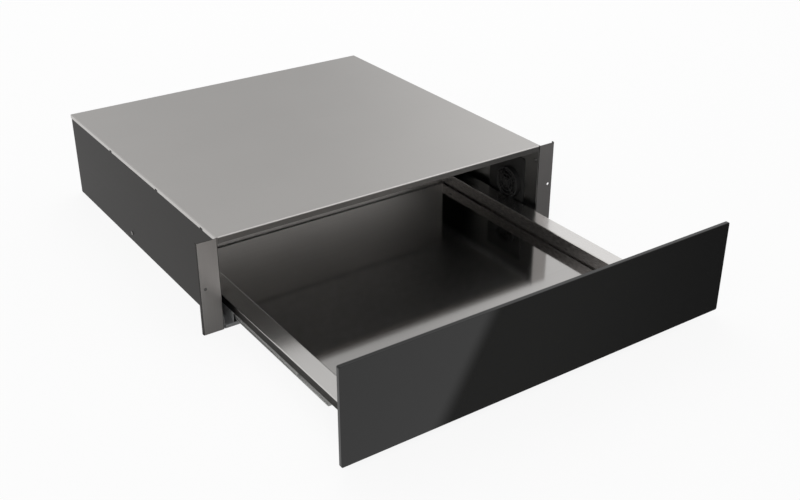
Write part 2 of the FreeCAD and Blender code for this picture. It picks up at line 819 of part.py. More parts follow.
def drawer_rivets():
    rivets = []
    for side in (-1, 1):
        inward = FreeCAD.Vector(-side, 0, 0)
        for y in (rear_wall_y - rivet_from_rear, backing_y + ledge_depth + rivet_from_front):
            rivet = rod(rivet_radius, rivet_height, side * wall_inner_x, y, rivet_level, inward)
            rims = [edge for edge in rivet.Edges if len(edge.Vertexes) == 1]
            top = max(rims, key=lambda edge: edge.CenterOfMass.dot(inward))
            rivets.append(rivet.makeFillet(rivet_height * rivet_round, [top]))
    return Part.makeCompound(rivets)


# ---------------------------------------------------------------- front
def glass_front():
    x = glass_width / 2
    pane = box(-x, x, glass_front_y, glass_rear_y, glass_bottom, glass_bottom + glass_height)
    pane = softened(pane, glass_corner, Y)
    rims = [edge for edge in pane.Edges if edge.BoundBox.YMax < glass_front_y + 0.01]
    return pane.makeFillet(glass_edge, rims)


def adhesive_strips():
    x = carrier_x - strip_inset
    low = carrier_bottom + strip_inset
    high = carrier_top - strip_inset
    strips = []
    for z0 in (low, high - strip_width):
        strips.append(box(-x, x, glass_rear_y, carrier_front_y, z0, z0 + strip_width))
    for x0 in (-x, x - strip_width):
        strips.append(box(x0, x0 + strip_width, glass_rear_y, carrier_front_y,
                          low + strip_width, high - strip_width))
    return joined(strips)


def front_carrier():
    """Shallow steel pan, open to the rear, that the glass is bonded to."""
    outer = box(-carrier_x, carrier_x, carrier_front_y, backing_y, carrier_bottom, carrier_top)
    x = carrier_x - carrier_sheet
    inner = box(-x, x, carrier_front_y + carrier_sheet, backing_y,
                carrier_bottom + carrier_sheet, carrier_top - carrier_sheet)
    return outer.cut(inner)


def backing_plate():
    """Inner front wall, set flush into the carrier's rim."""
    x = carrier_x - carrier_sheet
    return box(-x, x, backing_y - backing_sheet, backing_y, carrier_bottom + carrier_sheet,
               carrier_top - carrier_sheet)


def closing_bumpers():
    """Soft round buffers that meet the niche flanges when the drawer is shut."""
    x = (panel_outer_x + carrier_x) / 2
    height = closing_gap - clearance
    levels = (flange_lift + bumper_end_inset + bumper_radius,
              flange_top - bumper_end_inset - bumper_radius)
    bumpers = []
    for side in (-1, 1):
        for level in levels:
            bumper = rod(bumper_radius, height, side * x, backing_y, level, Y)
            rims = [edge for edge in bumper.Edges if len(edge.Vertexes) == 1]
            tip = max(rims, key=lambda edge: edge.CenterOfMass.y)
            bumpers.append(bumper.makeFillet(height * bumper_round, [tip]))
    return Part.makeCompound(bumpers)


# ---------------------------------------------------------------- controls
def control_ledge():
    """Folded shelf across the drawer behind the front, with cut-outs for the controls."""
    profile = [(ledge_rear_y, floor_top), (ledge_rear_y, cap_top), (backing_y, cap_top)]
    ledge = folded_sheet(profile, ledge_sheet, side_bend, "yz", -wall_inner_x, 2 * wall_inner_x)
    under = cap_top - 2 * ledge_sheet
    ledge = ledge.cut(rod(spindle_radius + fit, 3 * ledge_sheet, knob_place, ledge_middle_y,
                          under, Z))
    ledge = ledge.cut(rod(lamp_neck, 3 * ledge_sheet, lamp_place, ledge_middle_y, under, Z))
    return ledge.cut(box(switch_place - switch_length / 2, switch_place + switch_length / 2,
                         ledge_middle_y - switch_width / 2, ledge_middle_y + switch_width / 2,
                         under, cap_top))


def thermostat():
    """Housing under the ledge that the knob's spindle turns in."""
    top = cap_top - ledge_sheet
    half = thermostat_size / 2
    body = box(knob_place - half, knob_place + half, ledge_middle_y - half,
               ledge_middle_y + half, top - thermostat_height, top)
    depth = spindle_depth - ledge_sheet + clearance
    return body.cut(rod(spindle_radius + fit, depth, knob_place, ledge_middle_y, top - depth, Z))


def control_knob():
    """Tapered knob with a raised pointer and a round spindle."""
    bottom = cap_top + knob_gap
    place = FreeCAD.Vector(knob_place, ledge_middle_y, bottom)
    body = Part.makeCone(knob_radius, knob_radius - knob_taper, knob_height, place, Z)
    top = bottom + knob_height
    pointer = box(knob_place - pointer_width / 2, knob_place + pointer_width / 2,
                  ledge_middle_y, ledge_middle_y + knob_radius - knob_taper, top,
                  top + pointer_height)
    spindle = rod(spindle_radius, spindle_depth + knob_gap, knob_place, ledge_middle_y,
                  cap_top - spindle_depth, Z)
    return joined([body, pointer, spindle])


def pivot_level():
    return cap_top - pivot_depth


def switch_frame():
    """Bezel on the ledge and a body below it with the rocker's well."""
    half_x = switch_length / 2
    half_y = switch_width / 2
    bezel = box(switch_place - bezel_length / 2, switch_place + bezel_length / 2,
                ledge_middle_y - bezel_width / 2, ledge_middle_y + bezel_width / 2,
                cap_top, cap_top + bezel_height)
    bezel = softened(bezel, bezel_height, Z)
    body = box(switch_place - half_x, switch_place + half_x, ledge_middle_y - half_y,
               ledge_middle_y + half_y, cap_top - switch_depth, cap_top)
    well_x = rocker_length / 2 + rocker_end_gap
    well_y = rocker_width / 2 + clearance
    well_bottom = pivot_level() - rocker_keel - clearance
    well = box(switch_place - well_x, switch_place + well_x, ledge_middle_y - well_y,
               ledge_middle_y + well_y, well_bottom, cap_top + bezel_height)
    bore_length = switch_width - 2 * pivot_wall
    bore = rod(pivot_radius + fit, bore_length, switch_place,
               ledge_middle_y - bore_length / 2, pivot_level(), Y)
    return joined([bezel, body]).cut(well).cut(bore)


def rocker():
    """Rocker with a shallow V on top and a keel below, tilted to its off side."""
    half = rocker_length / 2
    level = pivot_level()
    top = cap_top + bezel_height - level
    outline = [(-half, top + rocker_ridge), (0, top), (half, top + rocker_ridge), (half, 0),
               (0, -rocker_keel), (-half, 0), (-half, top + rocker_ridge)]
    y = ledge_middle_y - rocker_width / 2
    points = [FreeCAD.Vector(switch_place + u, y, level + v) for u, v in outline]
    body = Part.Face(Part.makePolygon(points)).extrude(Y * rocker_width)
    pin_length = switch_width - 2 * (pivot_wall + clearance)
    pin = rod(pivot_radius, pin_length, switch_place, ledge_middle_y - pin_length / 2, level, Y)
    piece = joined([body, pin])
    piece.rotate(FreeCAD.Vector(switch_place, ledge_middle_y, level), Y, rocker_tilt)
    return piece


def pilot_lamp():
    """Domed lens with a neck through the ledge."""
    neck = rod(lamp_neck, lamp_depth, lamp_place, ledge_middle_y, cap_top - lamp_depth, Z)
    sphere_radius = math.hypot(lamp_radius, lamp_dome_drop)
    centre = FreeCAD.Vector(lamp_place, ledge_middle_y, cap_top - lamp_dome_drop)
    dome = Part.makeSphere(sphere_radius, centre)
    above = box(lamp_place - 2 * lamp_radius, lamp_place + 2 * lamp_radius,
                ledge_middle_y - 2 * lamp_radius, ledge_middle_y + 2 * lamp_radius,
                cap_top, cap_top + 2 * sphere_radius)
    return joined([neck, dome.common(above)])


# ---------------------------------------------------------------- all nodes
def main():
    os.makedirs("parts", exist_ok=True)
    save("base_pan", base_pan())
    save_pair("side_panel", side_panel())
    save("rear_panel", rear_panel())
    save("top_cover", top_cover())
    save("ceiling_shield", ceiling_shield())
    save("ceiling_insulation", ceiling_insulation())
    save("cabinet_screws", cabinet_screws())
    save("cable_gland", cable_gland())
    save("terminal_block", terminal_block())
    save("latch_housing", latch_housing())
    save("latch_plunger", latch_plunger())
    save("latch_striker", latch_striker())
    save("fan_bracket", fan_bracket())
    save("fan_frame", fan_frame())
    save("fan_rotor", fan_rotor())
    save("fan_guard", fan_guard())
    save_pair("cabinet_rail", cabinet_rail())
    save_pair("middle_rail", middle_rail())
    save_pair("drawer_rail", drawer_rail())
    save_pair("outer_ball_cage", outer_ball_cage())
    save_pair("inner_ball_cage", inner_ball_cage())
    save_pair("rail_brackets", rail_brackets())
    save_pair("rail_spacers", rail_spacers())
    save("drawer_pan", drawer_pan())
    save_pair("drawer_side", drawer_side())
    save("drawer_rear_wall", drawer_rear_wall())
    save("floor_plate", floor_plate())
    save("floor_insulation", floor_insulation_mat())
    save("heating_mat", heating_mat())
    save("thermal_cutout", thermal_cutout())
    save("drawer_rivets", drawer_rivets())
    save("glass_front", glass_front())
    save("adhesive_strips", adhesive_strips())
    save("front_carrier", front_carrier())
    save("backing_plate", backing_plate())
    save("closing_bumpers", closing_bumpers())
    save("control_ledge", control_ledge())
    save("thermostat", thermostat())
    save("control_knob", control_knob())
    save("switch_frame", switch_frame())
    save("rocker", rocker())
    save("pilot_lamp", pilot_lamp())


main()
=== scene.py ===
"""Built-in warming drawer, shown open.

A flat steel cabinet with niche flanges, a low drawer on telescopic runners with a polished
heated floor, and a full-width black glass front. The solids come from the frame; this file
gives them their finishes and adds the pieces that need more shape than a plain solid.
"""
import math

import bmesh
import bpy
import numpy as np
from bpy.props import FloatProperty, FloatVectorProperty, IntProperty, PointerProperty
from bpy.types import Operator, Panel, PropertyGroup
from mathutils import Euler, Matrix, Vector


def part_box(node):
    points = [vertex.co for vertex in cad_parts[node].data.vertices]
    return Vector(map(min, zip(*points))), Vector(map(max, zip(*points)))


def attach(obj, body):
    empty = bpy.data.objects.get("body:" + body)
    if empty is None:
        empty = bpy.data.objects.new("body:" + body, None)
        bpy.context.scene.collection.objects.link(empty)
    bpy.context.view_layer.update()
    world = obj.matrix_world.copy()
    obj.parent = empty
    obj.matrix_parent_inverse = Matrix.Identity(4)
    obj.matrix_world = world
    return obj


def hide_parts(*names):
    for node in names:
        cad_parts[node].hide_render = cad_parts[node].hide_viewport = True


bl_info = {
    "name": "Warming Drawer",
    "version": (1, 0, 0),
    "blender": (4, 5, 0),
    "location": "View3D > Sidebar > Warming Drawer",
    "description": "Finishes and fine pieces of a built-in warming drawer",
    "category": "Object",
}

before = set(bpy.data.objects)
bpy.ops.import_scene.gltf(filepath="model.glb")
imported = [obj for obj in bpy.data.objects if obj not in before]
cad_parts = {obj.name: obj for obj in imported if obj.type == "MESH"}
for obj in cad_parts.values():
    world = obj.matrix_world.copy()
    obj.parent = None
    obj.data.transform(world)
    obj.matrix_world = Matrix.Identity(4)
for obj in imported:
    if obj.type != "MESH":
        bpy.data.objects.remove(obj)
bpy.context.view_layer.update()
MM = 0.001
X, Y, Z = np.eye(3)
# Distances from the middle plane, in metres, past which a face is an outer one.
PANEL_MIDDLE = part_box("side_panel_right")[0][0] + 0.0005
LIP_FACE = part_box("drawer_side_right")[1][0] - 0.0004
# Width and length of a brush line, in metres.
BRUSH_LINE = 0.0009
BRUSH_LENGTH = 0.10
EDGE_TINT = (0.60, 0.60, 0.60, 1.0)
WHITE = (1.0, 1.0, 1.0, 1.0)


# ---------------- shader sums
class Value:
    """A node's output. Sums with it add Math nodes, numbers on either side included."""

    def __init__(self, finish, socket):
        self.finish = finish
        self.socket = socket

    def math(self, operation, *others):
        """A Math node of this value and the others."""
        return self.finish.add("Math", {"operation": operation},
                               dict(enumerate((self,) + others)))

    def __add__(self, other):
        return self.math("ADD", other)

    __radd__ = __add__

    def __sub__(self, other):
        return self.math("SUBTRACT", other)

    def __rsub__(self, other):
        return self.math("MULTIPLY", -1.0) + other

    def __mul__(self, other):
        return self.math("MULTIPLY", other)

    __rmul__ = __mul__

    def __abs__(self):
        return self.math("ABSOLUTE")

    def above(self, other):
        return self.math("GREATER_THAN", other)

    def at_most(self, other):
        return self.math("MINIMUM", other)

    def at_least(self, other):
        return self.math("MAXIMUM", other)


class Finish:
    """One material or world: adds its nodes and joins them."""

    def __init__(self, owner):
        owner.use_nodes = True
        self.owner = owner
        self.tree = owner.node_tree
        self.tree.nodes.clear()

    def add(self, kind, settings=None, values=None, output=0):
        """Makes one shader node: its settings first, then its sockets' values or links."""
        node = self.tree.nodes.new("ShaderNode" + kind)
        for name, setting in (settings or {}).items():
            setattr(node, name, setting)
        for name, value in (values or {}).items():
            if isinstance(value, Value):
                self.tree.links.new(value.socket, node.inputs[name])
            else:
                node.inputs[name].default_value = value
        return Value(self, node.outputs[output]) if len(node.outputs) > output else None

    def place(self):
        """Object coordinates."""
        return self.add("TexCoord", output=3)

    def part_of(self, vector, axis):
        """One of a vector's three numbers."""
        return self.add("SeparateXYZ", {}, {0: vector}, output=axis)

    def noise(self, scale, detail=3.0, roughness=0.55, stretch=(1.0, 1.0, 1.0)):
        """Soft noise; a stretch above 1 on an axis squeezes the pattern along it."""
        spot = self.add("Mapping", {}, {"Vector": self.place(), "Scale": stretch})
        return self.add("TexNoise", {},
                        {"Vector": spot, "Scale": scale, "Detail": detail, "Roughness": roughness})

    def span(self, value, low, high, to_low=0.0, to_high=1.0):
        """Carries a number from one range to another, held at both ends."""
        return self.add("MapRange", {"interpolation_type": "SMOOTHSTEP"},
                        {"Value": value, "From Min": low, "From Max": high, "To Min": to_low,
                         "To Max": to_high})

    def facing(self, axis, limit=0.75):
        """1 where the surface looks along an axis, either way, and 0 elsewhere."""
        normal = self.add("NewGeometry", output=1)
        return abs(self.part_of(normal, axis)).above(limit)

    def blend(self, factor, first, second):
        """Mixes two colours."""
        return self.add("Mix", {"data_type": "RGBA"},
                        {0: factor, 6: colour(first), 7: colour(second)}, output=2)

    def tones(self, factor, base, low, high):
        """Mixes two shades of one plain colour."""
        return self.blend(factor, tinted(base, low), tinted(base, high))

    def darker(self, shade, share):
        """A colour that comes from a node, times a number."""
        return self.add("Mix", {"data_type": "RGBA", "blend_type": "MULTIPLY"},
                        {0: 1.0, 6: shade, 7: (share, share, share, 1.0)}, output=2)

    def choose(self, factor, first, second):
        """Mixes two numbers."""
        return self.add("Mix", {"data_type": "FLOAT"}, {0: factor, 2: first, 3: second})

    def bump(self, height, depth, strength=1.0):
        """Raises the surface by a height from 0 to 1 times a depth in metres."""
        return self.add("Bump", {},
                        {"Height": height, "Distance": depth, "Strength": strength})

    def shade(self, **sockets):
        """The surface shader; sockets are named with underscores."""
        values = {name.replace("_", " "): colour(value) for name, value in sockets.items()}
        shader = self.add("BsdfPrincipled", {}, values)
        self.add("OutputMaterial", {}, {0: shader})
        return self.owner

    def light(self, kind, shade, strength=1.0):
        """An emission or a background shader."""
        return self.add(kind, {}, {"Color": shade, "Strength": strength})

    def between(self, factor, first, second, output):
        """Mixes two shaders and ends in the material's or the world's output."""
        shader = self.add("MixShader", {}, {0: factor, 1: first, 2: second})
        self.add("Output" + output, {}, {0: shader})

    def seen_directly(self):
        """1 for camera, glossy and transmission rays, 0 for light that falls on things."""
        camera, glossy, transmission = (self.add("LightPath", output=number)
                                        for number in (0, 3, 6))
        return camera.at_least(glossy).at_least(transmission)


def colour(value):
    """Gives a plain colour its fourth number; leaves anything else as it is."""
    if not isinstance(value, (Value, float, int)) and len(value) == 3:
        return (*value, 1.0)
    return value


def tinted(value, share):
    """The same colour, lighter or darker."""
    return tuple(min(1.0, part * share) for part in value)


def new_finish(name):
    """Starts a material."""
    return Finish(bpy.data.materials.new(name))


# ---------------- finishes
def grain(finish, along, across):
    """Brush lines along one axis, and along another where the face looks along the first.

    Noise is read on coordinates that run slowly along the lines and fast across them.
    """
    fields = []
    for axis in (along, across):
        stretch = [1.0, 1.0, 1.0]
        stretch[axis] = BRUSH_LINE / BRUSH_LENGTH
        fields.append(finish.noise(1.0 / BRUSH_LINE, 4.0, 0.62, tuple(stretch)))
    return finish.choose(finish.facing(along), *fields)


def brushed_steel(name, base, roughness, along, across, contrast=0.10, lip=1.0):
    """Brushed stainless sheet: fine lines, a slow cloud in tone and faint handling marks.

    The last argument is the tone of its front faces, and of its back faces too, as a share of the
    rest: painted shade on those faces.
    """
    finish = new_finish(name)
    lines = grain(finish, along, across)
    tone, rough = worked_sheet(finish, lines, roughness, contrast)
    sheet = finish.tones(tone, base, 0.80, 1.16)
    # Painted shade: faces that look along the drawer's run are darkened by the given share.
    if lip < 1.0:
        sheet = finish.blend(finish.facing(1, 0.97), sheet, finish.darker(sheet, lip))
    return finish.shade(Base_Color=sheet, Metallic=1.0, Roughness=rough,
                        Normal=finish.bump(lines, 3e-6))


def worked_sheet(finish, lines, roughness, contrast=0.10):
    """Tone and roughness of a sheet: its brush lines, a slow cloud and a few hand smears."""
    clouds = finish.noise(9.0, 2.0, 0.5)
    tone = (lines - 0.5) * (contrast * 2.0) + (clouds - 0.5) * 0.12 + 0.5
    smears = finish.span(finish.noise(28.0, 4.0, 0.6, (1.0, 2.5, 1.7)), 0.56, 0.80)
    return tone, (lines - 0.5) * (roughness * 0.5) + smears * 0.05 + roughness


def wall_steel(name, cap, wall, lip, roughness):
    """Drawer side: brushed bright along its cap, a coarse rolled face below in a darker tone that
    is painted shade, and the outer face darkest of all, also painted shade.
    """
    finish = new_finish(name)
    lines = grain(finish, 1, 0)
    upright = finish.facing(0)
    tone, rough = worked_sheet(finish, lines, roughness)
    rolled = finish.span(finish.noise(620.0, 5.0, 0.7, (1.0, 0.20, 1.0)), 0.30, 0.70)
    bright = finish.tones(tone, cap, 0.80, 1.16)
    # Painted shade: the inner faces take the darker wall tone, and the outer faces past LIP_FACE
    # take the darkest tone.
    outside = abs(finish.part_of(finish.place(), 0)).above(LIP_FACE)
    dark = finish.blend(outside, finish.tones(rolled, wall, 0.62, 1.38),
                        finish.tones(rolled, lip, 0.62, 1.38))
    height = finish.choose(upright, lines, rolled * 4.0)
    return finish.shade(Base_Color=finish.blend(upright, bright, dark), Metallic=1.0,
                        Roughness=finish.choose(upright, rough, rolled * 0.16 + 0.28),
                        Normal=finish.bump(height, 3e-6))


def side_steel(name, base, inner_shade, flange_base, roughness):
    """Side sheet: brushed upright on the flange, rolled elsewhere; its outer face takes a very
    dark tone and its inner face a mid tone, both painted shade beside the flange's own steel.
    """
    finish = new_finish(name)
    upright = finish.noise(1100.0, 4.0, 0.62, (1.0, 1.0, 0.009))
    rolled = finish.noise(700.0, 4.0, 0.6, (1.0, 0.012, 1.0))
    mottle = finish.noise(160.0, 5.0, 0.65)
    flange = finish.facing(1, 0.97)
    lines = finish.choose(flange, rolled * 0.45 + mottle * 0.55, upright)
    clouds = finish.noise(7.0, 2.0, 0.5)
    tone = (lines - 0.5) * 0.5 + (clouds - 0.5) * 0.25 + 0.5
    # Painted shade: the outer face takes the very dark side tone and the inner face a mid tone,
    # while the flange keeps the steel's own tone.
    outside = abs(finish.part_of(finish.place(), 0)).above(PANEL_MIDDLE)
    sheet = finish.blend(outside, inner_shade, base)
    panel = finish.blend(tone, finish.darker(sheet, 0.72), sheet)
    face = finish.tones(tone, flange_base, 0.80, 1.12)
    rough = (lines - 0.5) * 0.10 + finish.choose(flange, roughness, 0.36)
    return finish.shade(Base_Color=finish.blend(flange, panel, face), Metallic=1.0,
                        Roughness=rough, Specular_Tint=EDGE_TINT,
                        Normal=finish.bump(lines, 4e-6))


def zinc_sheet(name, base):
    """Zinc-coated sheet: flat crystals of slightly different tone, and fine rolling lines."""
    finish = new_finish(name)
    spangle = finish.add("TexVoronoi", {"feature": "F1"},
                         {"Vector": finish.place(), "Scale": 150.0}, output=1)
    crystal = finish.part_of(spangle, 0)
    fine = finish.noise(900.0, 3.0, 0.6, (0.05, 1.0, 1.0))
    dull = finish.span(finish.noise(12.0, 3.0, 0.55), 0.45, 0.75)
    tone = crystal * 0.45 + fine * 0.35 + 0.10
    rough = crystal * 0.10 + dull * 0.10 + 0.34
    return finish.shade(Base_Color=finish.tones(tone, base, 0.80, 1.15), Metallic=0.7,
                        Roughness=rough,
                        Normal=finish.bump(crystal + fine * 0.3, 6e-6))


def polished_floor(name, base, roughness):
    """Bright floor sheet: a mirror with a very fine brush across the drawer and light scuffs."""
    finish = new_finish(name)
    lines = finish.noise(1000.0, 4.0, 0.65, (0.008, 1.0, 1.0))
    broad = finish.noise(160.0, 3.0, 0.6, (0.01, 1.0, 1.0))
    scuffs = finish.span(finish.noise(60.0, 5.0, 0.7, (0.35, 1.0, 1.0)), 0.60, 0.78)
    tone = (lines - 0.5) * 0.6 + (broad - 0.5) * 0.2 + 0.5
    rough = (lines - 0.5) * 0.05 + scuffs * 0.03 + roughness
    return finish.shade(Base_Color=finish.tones(tone, base, 0.84, 1.10), Metallic=1.0,
                        Roughness=rough,
                        Normal=finish.bump(lines * 0.8 + broad * 0.2, 2.0e-6))


def black_glass(name, base):
    """Opaque black gloss glass: a hard surface with a trace of roller wave and wiping marks."""
    finish = new_finish(name)
    wave = finish.noise(3.0, 1.0, 0.4, (1.0, 1.0, 0.4))
    wiped = finish.span(finish.noise(34.0, 5.0, 0.65, (0.6, 1.0, 2.2)), 0.58, 0.85)
    return finish.shade(Base_Color=finish.tones(wiped, base, 1.0, 1.6),
                        Roughness=wiped * 0.02 + 0.025, IOR=1.45,
                        Normal=finish.bump(wave, 4e-5, 0.5))


def moulded_plastic(name, base, roughness=0.42):
    """Moulded plastic: spark-eroded grain, worn a little smoother and lighter in places."""
    finish = new_finish(name)
    pits = finish.noise(1500.0, 3.0, 0.6)
    wear = finish.span(finish.noise(45.0, 3.0, 0.6), 0.52, 0.78)
    rough = pits * 0.12 - wear * 0.08 + roughness
    return finish.shade(Base_Color=finish.tones(wear, base, 1.0, 1.35), Roughness=rough,
                        Normal=finish.bump(pits, 2.5e-5, 0.5))


def coated_steel(name, base):
    """Dark stoved coat: orange-peel surface with dust in its low spots."""
    finish = new_finish(name)
    peel = finish.noise(420.0, 2.0, 0.5)
    dust = finish.span(finish.noise(70.0, 4.0, 0.6), 0.50, 0.80)
    return finish.shade(Base_Color=finish.tones(dust * 0.6, base, 1.0, 1.7),
                        Roughness=peel * 0.10 + dust * 0.10 + 0.42,
                        Normal=finish.bump(peel, 2.0e-5, 0.6))


def rolled_rail(name, base):
    """Cold-rolled runner steel: long lines along the runner and a bright ball track."""
    finish = new_finish(name)
    lines = finish.noise(800.0, 4.0, 0.6, (1.0, 0.006, 1.0))
    film = finish.span(finish.noise(30.0, 3.0, 0.55, (1.0, 0.3, 1.0)), 0.45, 0.75)
    return finish.shade(Base_Color=finish.tones(lines, base, 0.76, 1.14), Metallic=0.5,
                        Roughness=lines * 0.14 + film * 0.10 + 0.20,
                        Normal=finish.bump(lines, 5e-6))


def turned_metal(name, base, roughness):
    """Small turned or pressed metal piece: fine scratches and a slightly uneven plating."""
    finish = new_finish(name)
    marks = finish.noise(1800.0, 3.0, 0.6)
    plating = finish.noise(260.0, 2.0, 0.5)
    return finish.shade(Base_Color=finish.tones(plating, base, 0.82, 1.12), Metallic=1.0,
                        Roughness=marks * 0.12 + roughness,
                        Normal=finish.bump(marks, 4e-6))


def fibre_mat(name, base):
    """Pressed mineral fibre: crossing threads over a soft uneven body."""
    finish = new_finish(name)
    threads = finish.noise(520.0, 5.0, 0.7, (0.18, 1.0, 1.0))
    crossing = finish.noise(520.0, 5.0, 0.7, (1.0, 0.18, 1.0))
    fibre = threads.at_least(crossing)
    lumps = finish.noise(40.0, 3.0, 0.55)
    return finish.shade(Base_Color=finish.tones(fibre * 0.7 + lumps * 0.3, base, 0.62, 1.10),
                        Roughness=fibre * 0.1 + 0.86,
                        Normal=finish.bump(fibre * 0.5 + lumps * 0.5, 3.0e-4, 0.7))


def soft_rubber(name, base):
    """Silicone or rubber: a dry, faintly dusty skin."""
    finish = new_finish(name)
    skin_grain = finish.noise(900.0, 3.0, 0.6)
    bloom = finish.span(finish.noise(90.0, 4.0, 0.6), 0.46, 0.76)
    return finish.shade(Base_Color=finish.tones(bloom, base, 1.0, 1.5),
                        Roughness=bloom * 0.16 + skin_grain * 0.06 + 0.57,
                        Normal=finish.bump(skin_grain, 2.0e-5, 0.6))


def clear_lens(name, base):
    """Amber lens, moulded clear over a dark lamp."""
    finish = new_finish(name)
    depth = finish.noise(380.0, 2.0, 0.5)
    return finish.shade(Base_Color=finish.tones(depth, base, 0.45, 1.0),
                        Roughness=depth * 0.04 + 0.07, IOR=1.49, Coat_Weight=0.5)


def printed_ink(name, base):
    """Screen-printed ink with a soft edge of wear."""
    finish = new_finish(name)
    worn = finish.noise(700.0, 4.0, 0.65)
    return finish.shade(Base_Color=finish.tones(worn, base, 0.82, 1.0),
                        Roughness=worn * 0.15 + 0.45)


# ---------------- shapes
def skin(grid, wrap_rows=False, wrap_columns=False):
    """Points and quads of a surface given as rows of points, joined round where it wraps."""
    rows, columns = grid.shape[:2]
    index = np.arange(rows * columns).reshape(rows, columns)
    if wrap_rows:
        index = np.vstack([index, index[:1]])
    if wrap_columns:
        index = np.hstack([index, index[:, :1]])
    quads = np.stack([index[:-1, :-1], index[:-1, 1:], index[1:, 1:], index[1:, :-1]], axis=-1)
    return grid.reshape(-1, 3), quads.reshape(-1, 4).tolist()


def round_angles(steps):
    """The angles of one turn, in equal steps."""
    return np.linspace(0.0, 2.0 * np.pi, steps, endpoint=False)


def square_to(axis):
    """Two directions at right angles to an axis and to each other."""
    u = np.roll(axis, 1)
    return u, np.cross(axis, u)


def capped(grid):
    """A tube whose rows are rings, with both end rings filled."""
    rows, columns = grid.shape[:2]
    points, faces = skin(grid, wrap_columns=True)
    first = list(range(columns))
    last = [(rows - 1) * columns + number for number in first]
    return points, faces + [first[::-1], last]


def turned(profile, centre, axis, steps=48, shape=None, closed=False):
    """Profile turned round an axis: centre + axis * h + r * (u * cos t + v * sin t).

    profile holds (r, h) pairs in mm. shape(h, t) multiplies the radius, for flutes or flats.
    """
    profile = np.asarray(profile, float)
    angle = round_angles(steps)
    radius = np.repeat(profile[:, :1], steps, axis=1)
    height = np.repeat(profile[:, 1:], steps, axis=1)
    if shape is not None:
        radius = radius * shape(height, angle[None, :])
    u, v = square_to(axis)
    ring = np.cos(angle)[:, None] * u + np.sin(angle)[:, None] * v
    grid = centre + height[..., None] * axis + radius[..., None] * ring[None]
    return skin(grid, wrap_rows=closed, wrap_columns=True)


def hoop(radius, wide, thick, centre, axis, steps=72, sides=12):
    """Oval wire bent to a circle: (R + wide * cos p) round the axis, thick * sin p along it."""
    turn = round_angles(sides)
    profile = np.stack([radius + wide * np.cos(turn), thick * np.sin(turn)], axis=1)
    return turned(profile, centre, axis, steps, closed=True)


def rod_between(start, end, wide, thick, flat, sides=12):
    """Oval rod along a line; flat is the direction of its thickness, and its ends are round."""
    start = np.asarray(start, float)
    end = np.asarray(end, float)
    run = (end - start) / np.linalg.norm(end - start)
    side = np.cross(run, flat)
    turn = round_angles(sides)
    ring = wide * np.cos(turn)[:, None] * side + thick * np.sin(turn)[:, None] * flat
    swell = np.sin(np.linspace(0.12, 0.5, 5) * np.pi)
    share = np.concatenate([swell, swell[::-1]])
    first = start + np.outer(np.linspace(0.0, thick, 5), run)
    last = end - np.outer(np.linspace(thick, 0.0, 5), run)
    spine = np.vstack([first, last])
    return capped(spine[:, None, :] + share[:, None, None] * ring[None])


def slab(low, high):
    """Box between two corners: low + share * (high - low), for a Bevel to soften."""
    low = np.asarray(low, float)
    share = np.empty((2, 4, 3))
    share[..., 0] = [[0], [1]]
    share[..., 1:] = [(0, 0), (1, 0), (1, 1), (0, 1)]
    return capped(low + share * (np.asarray(high, float) - low))


def outline_block(outline, start, end, place):
    """A flat outline (u, v) carried along y; place turns (u, y, v) rows into points."""
    outline = np.asarray(outline, float)
    rows = np.array([start, end], float)
    grid = np.empty((2, len(outline), 3))
    grid[..., 0] = outline[None, :, 0]
    grid[..., 1] = rows[:, None]
    grid[..., 2] = outline[None, :, 1]
    points, faces = capped(grid)
    return place(points), faces


def soft_mat(low, high, steps, power, ripple):
    """Pressed mat: middle +- half * ((1 - |u|^p) * (1 - |v|^p))^(1/p) * (1 - ripple(x, y)).

    u and v run from -1 to 1 and are packed towards the edges, where both skins meet.
    """
    run = np.sin(np.linspace(-0.5, 0.5, steps) * np.pi)
    u, v = np.meshgrid(run, run, indexing="ij")
    swell = ((1.0 - np.abs(u) ** power) * (1.0 - np.abs(v) ** power)) ** (1.0 / power)
    middle = (low + high) / 2.0
    half = (high - low) / 2.0
    x = middle[0] + half[0] * u
    y = middle[1] + half[1] * v
    shapes = []
    for side in (1.0, -1.0):
        z = middle[2] + side * half[2] * swell * (1.0 - ripple(x, y))
        shapes.append(skin(np.stack([x, y, z], axis=-1)))
    return shapes


def pan_head(radius, height, centre, axis):
    """Screw head on a polar grid: a dome h * (1 - 0.55 * (r/R)^2.6), less a cross recess.

    The recess is 0.62 * h deep, and each of its two arms is a product of smooth steps
    1 / (1 + exp((|a| - edge) / softness)) across and along it.
    """
    steps = 64
    radii = np.concatenate([np.linspace(0.0, 0.94, 22), [0.98, 1.0, 1.0]]) * radius
    r, t = np.meshgrid(radii, round_angles(steps), indexing="ij")
    a = r * np.cos(t)
    b = r * np.sin(t)
    slot = 0.0
    for p, q in ((a, b), (b, a)):
        wide = 1.0 / (1.0 + np.exp((np.abs(p) - 0.14 * radius) / (0.03 * radius)))
        long = 1.0 / (1.0 + np.exp((np.abs(q) - 0.52 * radius) / (0.04 * radius)))
        slot = np.maximum(slot, wide * long)
    level = height * (1.0 - 0.55 * (r / radius) ** 2.6) - 0.62 * height * slot
    level[-1] = 0.0
    u, v = square_to(axis)
    grid = centre + level[..., None] * axis + a[..., None] * u + b[..., None] * v
    points, faces = skin(grid, wrap_columns=True)
    rim = [(len(radii) - 1) * steps + number for number in range(steps)]
    return points, faces + [rim]


